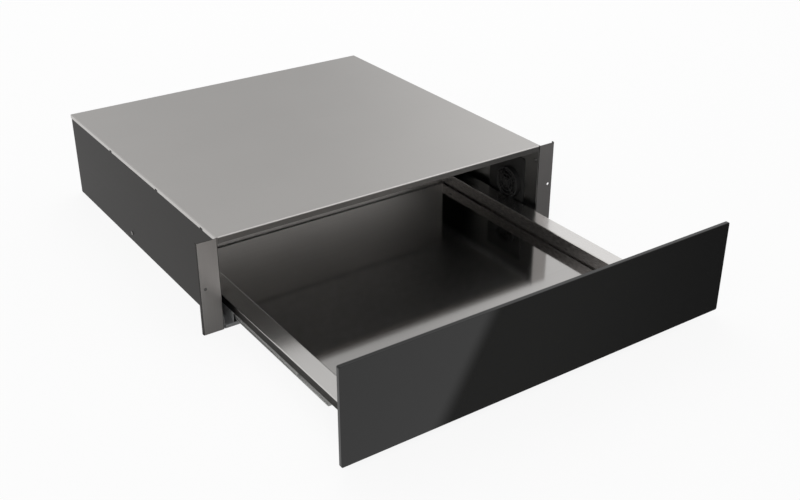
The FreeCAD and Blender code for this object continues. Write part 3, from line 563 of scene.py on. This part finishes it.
# ---------------- pieces
def make_piece(name, shapes, body, finish, stands_for=(), bevel=0.0, crease=38.0):
    """One object from several shapes in mm, riding a body and taking the given finish."""
    points = []
    faces = []
    start = 0
    for shape_points, shape_faces in shapes:
        points.append(shape_points)
        faces.extend([[start + corner for corner in face] for face in shape_faces])
        start += len(shape_points)
    mesh = bpy.data.meshes.new(name)
    mesh.from_pydata((np.vstack(points) * MM).tolist(), [], faces)
    work = bmesh.new()
    work.from_mesh(mesh)
    bmesh.ops.remove_doubles(work, verts=work.verts, dist=1e-7)
    bmesh.ops.recalc_face_normals(work, faces=work.faces)
    work.to_mesh(mesh)
    work.free()
    mesh.shade_smooth()
    mesh.set_sharp_from_angle(angle=math.radians(crease))
    mesh.materials.append(finish)
    piece = bpy.data.objects.new(name, mesh)
    bpy.context.scene.collection.objects.link(piece)
    if bevel:
        soften = piece.modifiers.new("edges", "BEVEL")
        soften.width = bevel * MM
        soften.segments = 3
        soften.limit_method = "ANGLE"
        soften.angle_limit = math.radians(crease)
        soften.harden_normals = True
    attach(piece, body)
    if stands_for:
        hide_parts(*stands_for)
    return piece


def dress(finish, *nodes):
    """Gives carried-over solids their finish."""
    for node in nodes:
        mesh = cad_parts[node].data
        if mesh.materials:
            for number in range(len(mesh.materials)):
                mesh.materials[number] = finish
        else:
            mesh.materials.append(finish)


def corners(node):
    """A solid's lowest and highest corner, in mm."""
    low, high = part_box(node)
    return np.array(low) / MM, np.array(high) / MM


def ledge_top():
    """Height of the ledge's upper face, in mm."""
    return corners("control_ledge")[1][2]


def both(name):
    """The names of a left and right pair of solids."""
    return name + "_left", name + "_right"


# ---------------- settings
def tone(label, help_text, value):
    """A colour setting."""
    return FloatVectorProperty(name=label, description=help_text, default=value, size=3,
                               subtype="COLOR", min=0.0, max=1.0)


def length(label, help_text, value):
    """A length setting, in metres."""
    return FloatProperty(name=label, description=help_text, default=value, unit="LENGTH",
                         min=0.0)


def ratio(label, help_text, value, top=1.0):
    """A plain number setting."""
    return FloatProperty(name=label, description=help_text, default=value, min=0.0, max=top)


def whole(label, help_text, value, least, most):
    """A whole number setting."""
    return IntProperty(name=label, description=help_text, default=value, min=least, max=most)


def watts(label, help_text, value):
    """A lamp power setting, in watts."""
    return FloatProperty(name=label, description=help_text, default=value, min=0.0, unit="POWER")


class DrawerColours(PropertyGroup):
    """Colours of the finishes."""
    cover: tone("Cover", "Satin steel of the top cover", (0.54, 0.525, 0.51))
    # Painted shade: the side panels' outer faces, far darker than the same steel on the flanges.
    side: tone("Sides", "Rolled steel of the side panels", (0.062, 0.060, 0.058))
    # Painted shade: the side panels' inner faces, darker than the flanges of the same steel.
    inside: tone("Inside", "Inner faces of the side panels", (0.34, 0.34, 0.335))
    flange: tone("Flanges", "Brushed steel of the niche flanges", (0.56, 0.54, 0.53))
    drawer: tone("Drawer", "Brushed steel of the drawer sides and ledge", (0.70, 0.685, 0.67))
    # Painted shade: the drawer sides' inner faces, darker than their caps of the same steel.
    wall: tone("Drawer walls", "Inner faces of the drawer sides", (0.330, 0.312, 0.302))
    # Painted shade: the drawer sides' outer faces, darkest of all.
    lip: tone("Drawer lips", "Outer faces of the drawer sides", (0.085, 0.081, 0.078))
    floor: tone("Floor", "Polished steel of the drawer floor", (0.44, 0.43, 0.42))
    zinc: tone("Zinc", "Zinc-coated inner sheets", (0.56, 0.565, 0.57))
    rail: tone("Runners", "Rolled steel of the runners", (0.80, 0.80, 0.79))
    bright: tone("Balls", "Balls and cages of the runners", (0.60, 0.60, 0.60))
    screw: tone("Fasteners", "Screws and rivets", (0.26, 0.255, 0.25))
    glass: tone("Glass", "Black glass front", (0.003, 0.003, 0.003))
    coat: tone("Dark coat", "Stoved coat of the carrier and fan bracket", (0.045, 0.045, 0.044))
    plastic: tone("Black plastic", "Knob, switch, fan and gland", (0.018, 0.018, 0.018))
    pale_plastic: tone("Grey plastic", "Terminal block and thermostat", (0.42, 0.42, 0.40))
    mat: tone("Insulation", "Mineral fibre mats", (0.70, 0.68, 0.61))
    silicone: tone("Silicone", "Heating mat", (0.25, 0.08, 0.05))
    rubber: tone("Rubber", "Bumpers and seal", (0.03, 0.03, 0.03))
    lens: tone("Lens", "Pilot lamp", (0.80, 0.30, 0.03))
    ink: tone("Pale ink", "Marks on the knob and the rocker", (0.80, 0.80, 0.78))
    dial: tone("Dark ink", "Numbers and marks of the dial", (0.020, 0.020, 0.020))


class DrawerSizes(PropertyGroup):
    """Sizes of the fine pieces."""
    knob_flutes: whole("Knob flutes", "Grip flutes round the knob", 24, 6, 60)
    flute_depth: length("Flute depth", "Depth of each grip flute", 0.0005)
    guard_wire: length("Guard wire", "Half width of the fan guard's wires", 0.0007)
    edge_softness: length("Edge softness", "Rounding of moulded edges", 0.0005)
    mat_ripple: ratio("Mat ripple", "Unevenness of the mats", 0.10, 0.3)
    dial_marks: whole("Dial marks", "Highest number round the knob", 6, 2, 8)


class DrawerStudio(PropertyGroup):
    """The studio round the drawer."""
    floor_size: length("Floor size", "Width of the pale floor", 16.0)
    floor_tone: tone("Floor tone", "Colour of the pale floor", (0.96, 0.96, 0.96))
    floor_glow: ratio("Floor glow", "Share of the floor that is plain white background", 0.90)
    key_power: watts("Key lamp", "Power of the large soft lamp", 34.0)
    fill_power: watts("Fill lamp", "Power of the front lamp", 10.0)
    ambient: ratio("Room light", "Even light from all round", 0.55, 2.0)


def settings():
    """The colours, the sizes and the studio of this scene."""
    scene = bpy.context.scene
    return scene.drawer_colours, scene.drawer_sizes, scene.drawer_studio


# ---------------- operators
class DRAWER_OT_cabinet(Operator):
    """Gives the cabinet's sheets their finishes"""
    bl_idname = "drawer.cabinet"
    bl_label = "Cabinet Sheets"

    def execute(self, context):
        colours, _, _ = settings()
        # The cover's front and back faces are darkened to half: painted shade.
        dress(brushed_steel("satin_cover", colours.cover, 0.34, 0, 1, contrast=0.08, lip=0.5),
              "top_cover")
        dress(side_steel("side_sheet", colours.side, colours.inside, colours.flange, 0.33),
              *both("side_panel"))
        dress(zinc_sheet("zinc_sheet", colours.zinc), "base_pan", "rear_panel",
              "ceiling_shield", *both("rail_brackets"))
        dress(coated_steel("fan_coat", colours.coat), "fan_bracket")
        return {"FINISHED"}


class DRAWER_OT_drawer_box(Operator):
    """Gives the drawer's sheets their finishes"""
    bl_idname = "drawer.drawer_box"
    bl_label = "Drawer Box"

    def execute(self, context):
        colours, _, _ = settings()
        dress(wall_steel("drawer_side_steel", colours.drawer, colours.wall, colours.lip, 0.20),
              *both("drawer_side"))
        # Painted light: the rear wall, backing plate and ledge take the drawer steel 12 percent
        # lighter, a lit copy of the same steel.
        dress(brushed_steel("rear_wall_steel", tinted(colours.drawer, 1.12), 0.36, 0, 1),
              "drawer_rear_wall", "backing_plate", "control_ledge")
        dress(polished_floor("floor_mirror", colours.floor, 0.09), "floor_plate")
        dress(zinc_sheet("pan_zinc", colours.zinc), "drawer_pan", *both("rail_spacers"))
        dress(moulded_plastic("thermostat_case", colours.pale_plastic), "thermostat",
              "thermal_cutout")
        return {"FINISHED"}


class DRAWER_OT_front(Operator):
    """Finishes the glass and its carrier, and lays the adhesive beads behind it"""
    bl_idname = "drawer.front"
    bl_label = "Glass Front"

    def execute(self, context):
        colours, _, _ = settings()
        dress(black_glass("front_glass", colours.glass), "glass_front")
        dress(coated_steel("carrier_coat", colours.coat), "front_carrier")
        low, high = corners("adhesive_strips")
        y = (low[1] + high[1]) / 2.0
        half_wide, half_thick = 6.0, 0.5
        foot, head = low[2] + 2.0 * half_wide, high[2] - 2.0 * half_wide
        lines = [((low[0], y, z), (high[0], y, z))
                 for z in (low[2] + half_wide, high[2] - half_wide)]
        lines += [((x, y, foot), (x, y, head))
                  for x in (low[0] + half_wide, high[0] - half_wide)]
        shapes = [rod_between(*line, half_wide, half_thick, Y, 16) for line in lines]
        make_piece("adhesive_beads", shapes, "drawer", soft_rubber("bead_rubber", colours.rubber),
                   ["adhesive_strips"])
        return {"FINISHED"}


class DRAWER_OT_runners(Operator):
    """Finishes the telescopic runners and their ball cages"""
    bl_idname = "drawer.runners"
    bl_label = "Runners"

    def execute(self, context):
        colours, _, _ = settings()
        steel = rolled_rail("runner_steel", colours.rail)
        for name in ("cabinet_rail", "middle_rail", "drawer_rail"):
            dress(steel, *both(name))
        balls = turned_metal("ball_steel_bright", colours.bright, 0.10)
        for name in ("outer_ball_cage", "inner_ball_cage"):
            dress(balls, *both(name))
        return {"FINISHED"}


class DRAWER_OT_insulation(Operator):
    """Makes the fibre mats, and the heating mat under the drawer floor"""
    bl_idname = "drawer.insulation"
    bl_label = "Insulation Mats"

    def execute(self, context):
        colours, sizes, _ = settings()
        fibre = fibre_mat("mineral_fibre", colours.mat)
        amount = sizes.mat_ripple

        def ripple(x, y):
            wave = np.sin(x * 0.071 + 1.3) * np.sin(y * 0.053 + 0.4)
            fine = np.sin(x * 0.21 + y * 0.13) * np.sin(y * 0.19 - 0.6)
            return amount * (0.5 + 0.3 * wave + 0.2 * fine)

        for node, body in (("ceiling_insulation", "cabinet"), ("floor_insulation", "drawer")):
            low, high = corners(node)
            make_piece(node.replace("insulation", "fibre_mat"),
                       soft_mat(low, high, 70, 24.0, ripple), body, fibre, [node])
        low, high = corners("heating_mat")
        tab_reach, tab_place, tab_half, track_pitch = 14.0, 18.0, 4.5, 24.0
        low[1] += tab_reach

        def tracks(x, y):
            return 0.16 * (0.5 + 0.5 * np.cos(x * 2.0 * np.pi / track_pitch))

        shapes = soft_mat(low, high, 110, 30.0, tracks)
        for x in (-tab_place, tab_place):
            shapes.append(slab((x - tab_half, low[1] - tab_reach, low[2] + 0.1),
                               (x + tab_half, low[1] + 3.0, high[2] - 0.1)))
        make_piece("heater_mat", shapes, "drawer",
                   soft_rubber("heater_silicone", colours.silicone), ["heating_mat"])
        return {"FINISHED"}


class DRAWER_OT_fan(Operator):
    """Makes the fan's guard and rotor and finishes its frame"""
    bl_idname = "drawer.fan"
    bl_label = "Fan"

    def execute(self, context):
        colours, sizes, _ = settings()
        plastic = moulded_plastic("fan_plastic", colours.plastic, 0.45)
        dress(plastic, "fan_frame")
        self.guard(colours, sizes)
        low, high = corners("fan_rotor")
        centre = (low + high) / 2.0
        centre[0] = low[0]
        end = high[0] - low[0]
        hub_radius, hub_depth, shaft_radius, blades = 8.0, 3.8, 1.5, 9
        hub = [(0.0, 0.0), (hub_radius - 2.4, 0.0), (hub_radius - 0.6, 0.5), (hub_radius, 1.3),
               (hub_radius, hub_depth), (shaft_radius, hub_depth), (shaft_radius, end),
               (0.0, end)]
        shapes = [turned(hub, centre, X)]
        tip = (high[2] - low[2]) / 2.0 - 0.1
        for number in range(blades):
            shapes.append(self.blade(centre, 2.0 * math.pi * number / blades,
                                     hub_radius - 1.0, tip))
        make_piece("fan_wheel", shapes, "fan_rotor", plastic, ["fan_rotor"])
        return {"FINISHED"}

    def guard(self, colours, sizes):
        """Rim, three hoops, four spokes and a small round middle."""
        low, high = corners("fan_guard")
        centre = (low + high) / 2.0
        wide = sizes.guard_wire / MM
        thick = (high[0] - low[0]) / 2.0
        rim_half, hub_radius = 1.25, 4.25
        rim = (high[1] - low[1]) / 2.0 - rim_half
        shapes = [hoop(rim, rim_half, thick, centre, X)]
        for radius in (19.8, 13.8, 7.8):
            shapes.append(hoop(radius, wide, thick, centre, X))
        for degrees in (45, 135, 225, 315):
            angle = math.radians(degrees)
            out = np.array([0.0, -math.sin(angle), math.cos(angle)])
            shapes.append(rod_between(centre + out * 3.0, centre + out * rim, wide, thick, X))
        hub = [(0.0, -thick), (hub_radius - 0.45, -thick), (hub_radius, -thick * 0.4),
               (hub_radius, thick), (0.0, thick)]
        shapes.append(turned(hub, centre, X, 36))
        make_piece("fan_guard_wires", shapes, "cabinet", coated_steel("guard_coat", colours.coat),
                   ["fan_guard"])

    def blade(self, centre, turn, root, tip):
        """Upright blade on a grid of reach s and section angle p.

        The section is a flat oval, 3.6 mm deep along the axis and 0.9 mm thick, and its middle
        leans back by 0.5 * s radians on the way from the root to the tip.
        """
        s = np.linspace(0.0, 1.0, 14)[:, None]
        p = round_angles(20)[None, :]
        reach = root + (tip - root) * s
        deep = 1.8 * np.sign(np.cos(p)) * np.abs(np.cos(p)) ** 0.6
        side = 0.45 * np.sin(p)
        angle = turn - 0.5 * s + side / reach
        grid = np.stack([np.broadcast_to(centre[0] + 1.9 + deep, angle.shape),
                         centre[1] - reach * np.sin(angle),
                         centre[2] + reach * np.cos(angle)], axis=-1)
        return capped(grid)


class DRAWER_OT_fasteners(Operator):
    """Makes the cabinet's screw heads and the drawer's rivets"""
    bl_idname = "drawer.fasteners"
    bl_label = "Screws and Rivets"

    def execute(self, context):
        colours, _, _ = settings()
        bright = turned_metal("plated_screw", colours.screw, 0.34)
        radius, height = 3.0, 1.6
        shield_level, side_y, side_level, rear_inset = 111.0, 45.0, 14.0, 14.0
        low, high = corners("cabinet_screws")
        inner = corners("ceiling_shield")[1][0]
        shapes = []
        for side in (-1.0, 1.0):
            places = [((side * inner, low[1] + radius, shield_level), -side * X),
                      ((side * (high[0] - height), side_y, side_level), side * X)]
            for level in (low[2] + radius, high[2] - radius):
                places.append(((side * (inner - rear_inset), high[1] - height, level), Y))
            shapes += [pan_head(radius, height, place, axis) for place, axis in places]
        make_piece("cabinet_screw_heads", shapes, "cabinet", bright,
                   ["cabinet_screws"])
        low, high = corners("drawer_rivets")
        radius, wall, level = 2.5, 229.0, 29.0
        profile = [(0.0, 0.45), (0.75, 0.45), (0.85, 0.30), (1.0, 0.78), (1.6, 0.90),
                   (2.2, 0.66), (radius, 0.15), (radius, 0.0), (0.0, 0.0)]
        shapes = [turned(profile, (side * wall, y, level), -side * X, 36)
                  for side in (-1.0, 1.0) for y in (low[1] + radius, high[1] - radius)]
        make_piece("drawer_rivet_heads", shapes, "drawer", bright,
                   ["drawer_rivets"])
        return {"FINISHED"}


class DRAWER_OT_bumpers(Operator):
    """Makes the soft closing bumpers behind the front"""
    bl_idname = "drawer.bumpers"
    bl_label = "Closing Bumpers"

    def execute(self, context):
        colours, _, _ = settings()
        low, high = corners("closing_bumpers")
        radius = 5.0
        profile = np.array([(0.0, 1.0), (1.6, 0.985), (2.6, 0.93), (3.3, 0.80), (3.7, 0.62),
                            (4.0, 0.60), (4.5, 0.52), (4.9, 0.30), (radius, 0.0), (0.0, 0.0)])
        profile[:, 1] *= high[1] - low[1]
        shapes = [turned(profile, (x, low[1], z), Y, 40)
                  for x in (low[0] + radius, high[0] - radius)
                  for z in (low[2] + radius, high[2] - radius)]
        make_piece("bumper_domes", shapes, "drawer", soft_rubber("bumper_rubber", colours.rubber),
                   ["closing_bumpers"])
        return {"FINISHED"}


class DRAWER_OT_knob(Operator):
    """Makes the fluted thermostat knob and the dial marks round it"""
    bl_idname = "drawer.knob"
    bl_label = "Knob and Dial"

    def execute(self, context):
        colours, sizes, _ = settings()
        low, high = corners("control_knob")
        middle = (low + high) / 2.0 * (X + Y)
        x, y, _ = middle
        spindle = 3.0
        wide = (high[0] - low[0]) / 2.0
        bottom = ledge_top() + 0.4
        top = high[2] - 1.5
        flutes = sizes.knob_flutes
        depth = sizes.flute_depth / MM / wide

        def grip(height, angle):
            above_foot = np.clip((height - bottom - 1.2) / 1.2, 0, 1)
            below_rim = np.clip((top - height - 1.0) / 1.6, 0, 1)
            return 1.0 - depth * above_foot * below_rim \
                * (0.5 + 0.5 * np.cos(flutes * angle)) ** 2

        profile = [(0.0, low[2]), (spindle, low[2]), (spindle, bottom), (wide - 0.5, bottom),
                   (wide, bottom + 0.5), (wide - 0.1, bottom + 1.4)]
        for share in np.linspace(0.15, 0.85, 8):
            profile.append((wide - 1.5 * share, bottom + share * (top - bottom)))
        profile += [(wide - 1.5, top - 1.2), (wide - 1.8, top - 0.5), (wide - 2.5, top - 0.1),
                    (wide - 3.4, top), (wide - 4.6, top - 0.25), (0.0, top - 0.35)]
        bar = rod_between((x, y - 7.5, top - 0.1), (x, y + wide - 1.6, top - 0.1), 1.25, 1.5, Z,
                          20)
        make_piece("control_knob_cap", [turned(profile, middle, Z, flutes * 8, grip), bar],
                   "control_knob", moulded_plastic("knob_plastic", colours.plastic, 0.36),
                   ["control_knob"])
        mark = rod_between((x, y + 4.0, top + 1.36), (x, y + wide - 2.6, top + 1.36), 0.45,
                           0.13, Z, 8)
        make_piece("knob_mark", [mark], "control_knob", printed_ink("knob_ink", colours.ink))
        sweep, tick_start, tick_end, numeral_place, numeral_size = 270.0, 13.7, 15.3, 17.5, 3.0
        spot = middle + Z * (ledge_top() + 0.03)
        shapes = []
        for number in range(sizes.dial_marks + 1):
            angle = math.radians(sweep * number / sizes.dial_marks)
            out = np.array([math.sin(angle), math.cos(angle), 0.0])
            shapes.append(rod_between(spot + out * tick_start, spot + out * tick_end, 0.28,
                                      0.04, Z, 8))
            shapes.append(self.numeral(str(number), spot + out * numeral_place, numeral_size))
        make_piece("dial_marks", shapes, "drawer", printed_ink("dial_ink", colours.dial))
        return {"FINISHED"}

    def numeral(self, text, place, size):
        """A flat numeral, made a mesh and then put in place."""
        curve = bpy.data.curves.new("numeral", "FONT")
        curve.body = text
        curve.size = size
        curve.extrude = 0.03
        curve.align_x = "CENTER"
        curve.align_y = "CENTER"
        holder = bpy.data.objects.new("numeral", curve)
        mesh = bpy.data.meshes.new_from_object(holder)
        points = np.empty(len(mesh.vertices) * 3)
        mesh.vertices.foreach_get("co", points)
        faces = [list(face.vertices) for face in mesh.polygons]
        bpy.data.meshes.remove(mesh)
        bpy.data.objects.remove(holder)
        bpy.data.curves.remove(curve)
        return points.reshape(-1, 3) + place, faces


class DRAWER_OT_switch(Operator):
    """Makes the rocker and finishes its frame"""
    bl_idname = "drawer.switch"
    bl_label = "Rocker Switch"

    def execute(self, context):
        colours, sizes, _ = settings()
        plastic = moulded_plastic("switch_plastic", colours.plastic, 0.34)
        dress(plastic, "switch_frame")
        low, high = corners("rocker")
        pivot = np.array([0.0, (low[1] + high[1]) / 2.0, ledge_top() - 0.8])
        turn = np.array(Matrix.Rotation(math.radians(8.0), 3, "Y"))
        half_long, half_wide, pin_reach, pin_radius = 9.0, 4.2, 5.2, 1.0
        run = np.linspace(-half_long, half_long, 25)
        crown = 2.8 + 1.6 * (np.abs(run) / half_long) ** 1.6
        outline = list(zip(run, crown)) + [(half_long, 0.0), (0.0, -5.0), (-half_long, 0.0)]

        def place(points):
            return points @ turn.T + pivot

        block = outline_block(outline, -half_wide, half_wide, place)
        pin = turned([(0.0, -pin_reach), (pin_radius, -pin_reach), (pin_radius, pin_reach),
                      (0.0, pin_reach)], pivot, Y, 24)
        make_piece("rocker_cap", [block, pin], "rocker", plastic, ["rocker"],
                   bevel=sizes.edge_softness / MM * 0.6)
        points, faces = rod_between((5.4, 0.0, 3.60), (7.4, 0.0, 4.00), 0.5, 0.08, Z, 8)
        make_piece("rocker_mark", [(place(points), faces)], "rocker",
                   printed_ink("switch_ink", colours.ink))
        return {"FINISHED"}


class DRAWER_OT_pilot_lamp(Operator):
    """Makes the pilot lamp's ringed lens"""
    bl_idname = "drawer.pilot_lamp"
    bl_label = "Pilot Lamp"

    def execute(self, context):
        colours, _, _ = settings()
        low, high = corners("pilot_lamp")
        base = ledge_top()
        lens, neck, ring_pitch = 4.0, 3.2, 0.8
        radii = np.linspace(lens, 0.0, 34)
        dome = base + (high[2] - base) * (1.0 - (radii / lens) ** 2) ** 0.8
        rings = 0.10 * (0.5 + 0.5 * np.cos(radii * 2.0 * np.pi / ring_pitch)) * (radii / lens)
        profile = [(0.0, low[2]), (neck, low[2]), (neck, base), (lens, base)]
        profile += list(zip(radii, np.maximum(dome - rings, base + 0.02)))
        make_piece("pilot_lens", [turned(profile, (low + high) / 2.0 * (X + Y), Z)], "drawer",
                   clear_lens("amber_clear", colours.lens), ["pilot_lamp"])
        return {"FINISHED"}


class DRAWER_OT_gland(Operator):
    """Makes the cable gland with its hexagon nut and ribbed cap"""
    bl_idname = "drawer.gland"
    bl_label = "Cable Gland"

    def execute(self, context):
        colours, _, _ = settings()
        low, high = corners("cable_gland")
        inside = low[1]
        panel_face, bore, nut, nut_thick, thread, ribs = 262.5, 4.5, 12.0, 4.0, 9.0, 18
        cap = [(thread, 0.02), (nut, 0.02), (nut, 2.4), (11.4, 3.0), (9.3, 3.1), (thread, 3.6),
               (thread, 4.4), (thread, 9.0), (8.9, 9.7), (8.4, 10.6), (7.2, 11.6)]
        profile = [(bore, inside), (nut, inside), (nut, inside + nut_thick),
                   (thread, inside + nut_thick + 0.02)]
        profile += [(radius, panel_face + height) for radius, height in cap]
        profile += [(5.6, high[1]), (bore, high[1])]
        outside = np.array([radius > bore + 0.1 for radius, _ in profile])[:, None]

        def shape(height, angle):
            sixth = math.pi / 3
            hexagon = math.cos(sixth / 2) / np.cos(np.mod(angle, sixth) - sixth / 2)
            ribbed = 1.0 - 0.045 * (0.5 + 0.5 * np.cos(ribs * angle)) ** 2
            in_cap = (height > panel_face + 3.6) & (height < panel_face + 9.6)
            sides = np.where(height < inside + nut_thick + 0.01, hexagon,
                             np.where(in_cap, ribbed, 1.0))
            return np.where(outside, sides, 1.0)

        centre = (low + high) / 2.0 * (X + Z)
        make_piece("gland_body", [turned(profile, centre, Y, 144, shape, closed=True)], "cabinet",
                   moulded_plastic("gland_plastic", colours.plastic, 0.40),
                   ["cable_gland"], crease=30.0)
        return {"FINISHED"}


class DRAWER_OT_terminals(Operator):
    """Makes the terminal block with its ribs and clamp screws"""
    bl_idname = "drawer.terminals"
    bl_label = "Terminal Block"

    def execute(self, context):
        colours, sizes, _ = settings()
        low, high = corners("terminal_block")
        wires, rib, rib_rise = 3, 2.0, 4.0
        top = high[2] - rib_rise
        pitch = (high[1] - low[1] - rib) / wires
        shapes = [slab(low, (high[0], high[1], top))]
        for y in low[1] + pitch * np.arange(wires + 1):
            shapes.append(slab((low[0] + 0.2, y + 0.01, top - 1.0),
                               (high[0] - 0.2, y + rib - 0.01, high[2])))
        make_piece("terminal_body", shapes, "cabinet",
                   moulded_plastic("terminal_plastic", colours.pale_plastic),
                   ["terminal_block"], bevel=sizes.edge_softness / MM * 0.7)
        heads = []
        for number in range(wires):
            y = low[1] + rib / 2.0 + (number + 0.5) * pitch
            for part in (0.27, 0.73):
                x = low[0] + part * (high[0] - low[0])
                heads.append(pan_head(3.0, 2.0, (x, y, top), Z))
        make_piece("terminal_screws", heads, "cabinet",
                   turned_metal("brass_screw", (0.62, 0.45, 0.20), 0.22))
        return {"FINISHED"}


class DRAWER_OT_latch(Operator):
    """Finishes the push latch"""
    bl_idname = "drawer.latch"
    bl_label = "Push Latch"

    def execute(self, context):
        colours, _, _ = settings()
        dress(moulded_plastic("latch_plastic", colours.plastic, 0.45), "latch_housing")
        dress(moulded_plastic("plunger_plastic", colours.pale_plastic, 0.35), "latch_plunger")
        dress(zinc_sheet("striker_zinc", colours.zinc), "latch_striker")
        return {"FINISHED"}


class DRAWER_OT_studio(Operator):
    """Sets the pale floor, the room light, the lamps and the camera"""
    bl_idname = "drawer.studio"
    bl_label = "Studio"

    def execute(self, context):
        _, _, studio = settings()
        self.floor(studio)
        self.dark_card()
        self.room(studio)
        self.lamp("key_lamp", studio.key_power, (1.1, 1.6, 2.6), (0.0, -0.1, 0.0), 2.6)
        self.lamp("fill_lamp", studio.fill_power, (-2.2, -1.6, 2.2), (0.0, -0.2, 0.0), 2.0)
        self.camera()
        return {"FINISHED"}

    def sheet(self, name, low, high, level, finish):
        """Flat sheet between two corners, kept out of the object."""
        mesh = bpy.data.meshes.new(name)
        mesh.from_pydata([(low[0], low[1], level), (high[0], low[1], level),
                          (high[0], high[1], level), (low[0], high[1], level)], [],
                         [(0, 1, 2, 3)])
        mesh.materials.append(finish.owner)
        sheet = bpy.data.objects.new(name, mesh)
        bpy.context.scene.collection.objects.link(sheet)
        return sheet

    def floor(self, studio):
        """Pale floor just under the drawer: mostly plain white, with the drawer's shadow."""
        finish = new_finish("pale_floor")
        grit = finish.noise(3.0, 2.0, 0.5)
        shaded = finish.add("BsdfDiffuse", {}, {
            "Color": finish.tones(grit, studio.floor_tone, 0.99, 1.0)})
        white = finish.light("Emission", WHITE)
        finish.between(finish.seen_directly() * studio.floor_glow, shaded, white, "Material")
        half = studio.floor_size / 2.0
        self.sheet("studio_floor", (-half, -half), (half, half), -0.0004, finish)

    def room(self, studio):
        """White seen directly, a soft gradient in gloss, and a plainer level as light.

        The gloss is lowest some 26 degrees to the right of the drawer's run. It rises on both
        sides of that and overhead, and one bright patch high up on the right lights the folds.
        """
        world = bpy.data.worlds.new("studio_room")
        bpy.context.scene.world = world
        finish = Finish(world)
        direction = finish.add("TexCoord", output=0)
        rightward = finish.part_of(direction, 0)
        upward = finish.part_of(direction, 2)
        right_wall = finish.span(rightward, 0.46, 0.66, 0.0, 0.46)
        left_wall = finish.span(rightward, 0.42, 0.10, 0.0, 0.18)
        high_wall = finish.span(upward, 0.30, 0.62, 0.0, 0.20)
        patch = finish.span(upward, 0.64, 0.78) * finish.span(upward, 0.96, 0.86) \
            * finish.span(rightward, 0.34, 0.44) * finish.span(rightward, 0.66, 0.56)
        gloss = (right_wall + left_wall + high_wall + 0.495).at_most(1.0) + patch
        camera_ray = finish.add("LightPath")
        white = finish.light("Background", WHITE, finish.choose(camera_ray, gloss, 1.0))
        plain = finish.light("Background", WHITE, studio.ambient)
        finish.between(finish.seen_directly(), plain, white, "World")

    def dark_card(self):
        """Glowing dark sheet on the floor at the front right, seen only in gloss: a painted
        reflection of shade on the right of the glass front and on the flanges.

        past_edge is the distance past its slanting edge, dot(spot - corner, across): the card
        starts there within 22 mm and darkens over the next 320 mm.
        """
        finish = new_finish("painted_reflection_card")
        spot = finish.place()
        corner, across = (-0.157, -0.615), (0.616, 0.788)
        past_edge = (finish.part_of(spot, 0) - corner[0]) * across[0] \
            + (finish.part_of(spot, 1) - corner[1]) * across[1]
        cover = finish.span(past_edge, -0.010, 0.012)
        clear = finish.add("BsdfTransparent")
        # Painted reflection: the sheet glows dark grey, darker further past its edge.
        fade = finish.span(past_edge, 0.0, 0.32)
        reflection_shade = finish.light("Emission",
                             finish.blend(fade, (0.30, 0.30, 0.29), (0.12, 0.12, 0.12)))
        finish.between(cover, clear, reflection_shade, "Material")
        card = self.sheet("black_card", (-0.30, -1.60), (1.60, -0.24), 0.0004, finish)
        for ray in ("camera", "diffuse", "transmission", "shadow"):
            setattr(card, "visible_" + ray, False)

    def lamp(self, name, power, place, target, size):
        """Soft square lamp, kept out of the gloss, which shows the room instead."""
        data = bpy.data.lights.new(name, "AREA")
        data.energy = power
        data.shape = "SQUARE"
        data.size = size
        lamp = bpy.data.objects.new(name, data)
        lamp.location = place
        lamp.rotation_mode = "QUATERNION"
        lamp.rotation_quaternion = (Vector(target) - Vector(place)).to_track_quat("-Z", "Y")
        lamp.visible_camera = False
        lamp.visible_glossy = False
        bpy.context.scene.collection.objects.link(lamp)

    def camera(self):
        """Camera at the measured place: azimuth 34.45 degrees, 27.90 degrees down."""
        down, roll, heading = 0.486872, -0.00088857, -0.601288
        data = bpy.data.cameras.new("studio_camera")
        data.sensor_width = 36.0
        data.lens = 50.054
        data.clip_start = 0.05
        data.clip_end = 60.0
        camera = bpy.data.objects.new("studio_camera", data)
        camera.location = (-0.78578, -1.42567, 0.78176)
        camera.rotation_euler = Euler((math.pi / 2 - down, roll, heading), "XYZ")
        bpy.context.scene.collection.objects.link(camera)
        bpy.context.scene.camera = camera


class DRAWER_PT_panel(Panel):
    """Buttons for each group of pieces"""
    bl_idname = "DRAWER_PT_panel"
    bl_label = "Warming Drawer"
    bl_space_type = "VIEW_3D"
    bl_region_type = "UI"
    bl_category = "Warming Drawer"

    def draw(self, context):
        scene = context.scene
        for step in STEPS:
            self.layout.operator(step.bl_idname)
        for group in (scene.drawer_colours, scene.drawer_sizes, scene.drawer_studio):
            box = self.layout.box()
            for name in group.__annotations__:
                box.prop(group, name)


STEPS = (DRAWER_OT_studio, DRAWER_OT_cabinet, DRAWER_OT_drawer_box, DRAWER_OT_front,
         DRAWER_OT_runners, DRAWER_OT_insulation, DRAWER_OT_fan, DRAWER_OT_fasteners,
         DRAWER_OT_bumpers, DRAWER_OT_knob, DRAWER_OT_switch, DRAWER_OT_pilot_lamp,
         DRAWER_OT_gland, DRAWER_OT_terminals, DRAWER_OT_latch)
GROUPS = (("drawer_colours", DrawerColours), ("drawer_sizes", DrawerSizes),
          ("drawer_studio", DrawerStudio))


def register():
    """Adds the settings, the steps and the panel."""
    for name, group in GROUPS:
        bpy.utils.register_class(group)
        setattr(bpy.types.Scene, name, PointerProperty(type=group))
    for step in STEPS:
        bpy.utils.register_class(step)
    bpy.utils.register_class(DRAWER_PT_panel)


def unregister():
    """Takes them away again."""
    bpy.utils.unregister_class(DRAWER_PT_panel)
    for step in reversed(STEPS):
        bpy.utils.unregister_class(step)
    for name, group in reversed(GROUPS):
        delattr(bpy.types.Scene, name)
        bpy.utils.unregister_class(group)


def main():
    """Runs every step in order."""
    register()
    bpy.context.scene.view_settings.view_transform = "Standard"
    for step in STEPS:
        family, action = step.bl_idname.split(".")
        getattr(getattr(bpy.ops, family), action)()


if __name__ == "__main__":
    main()
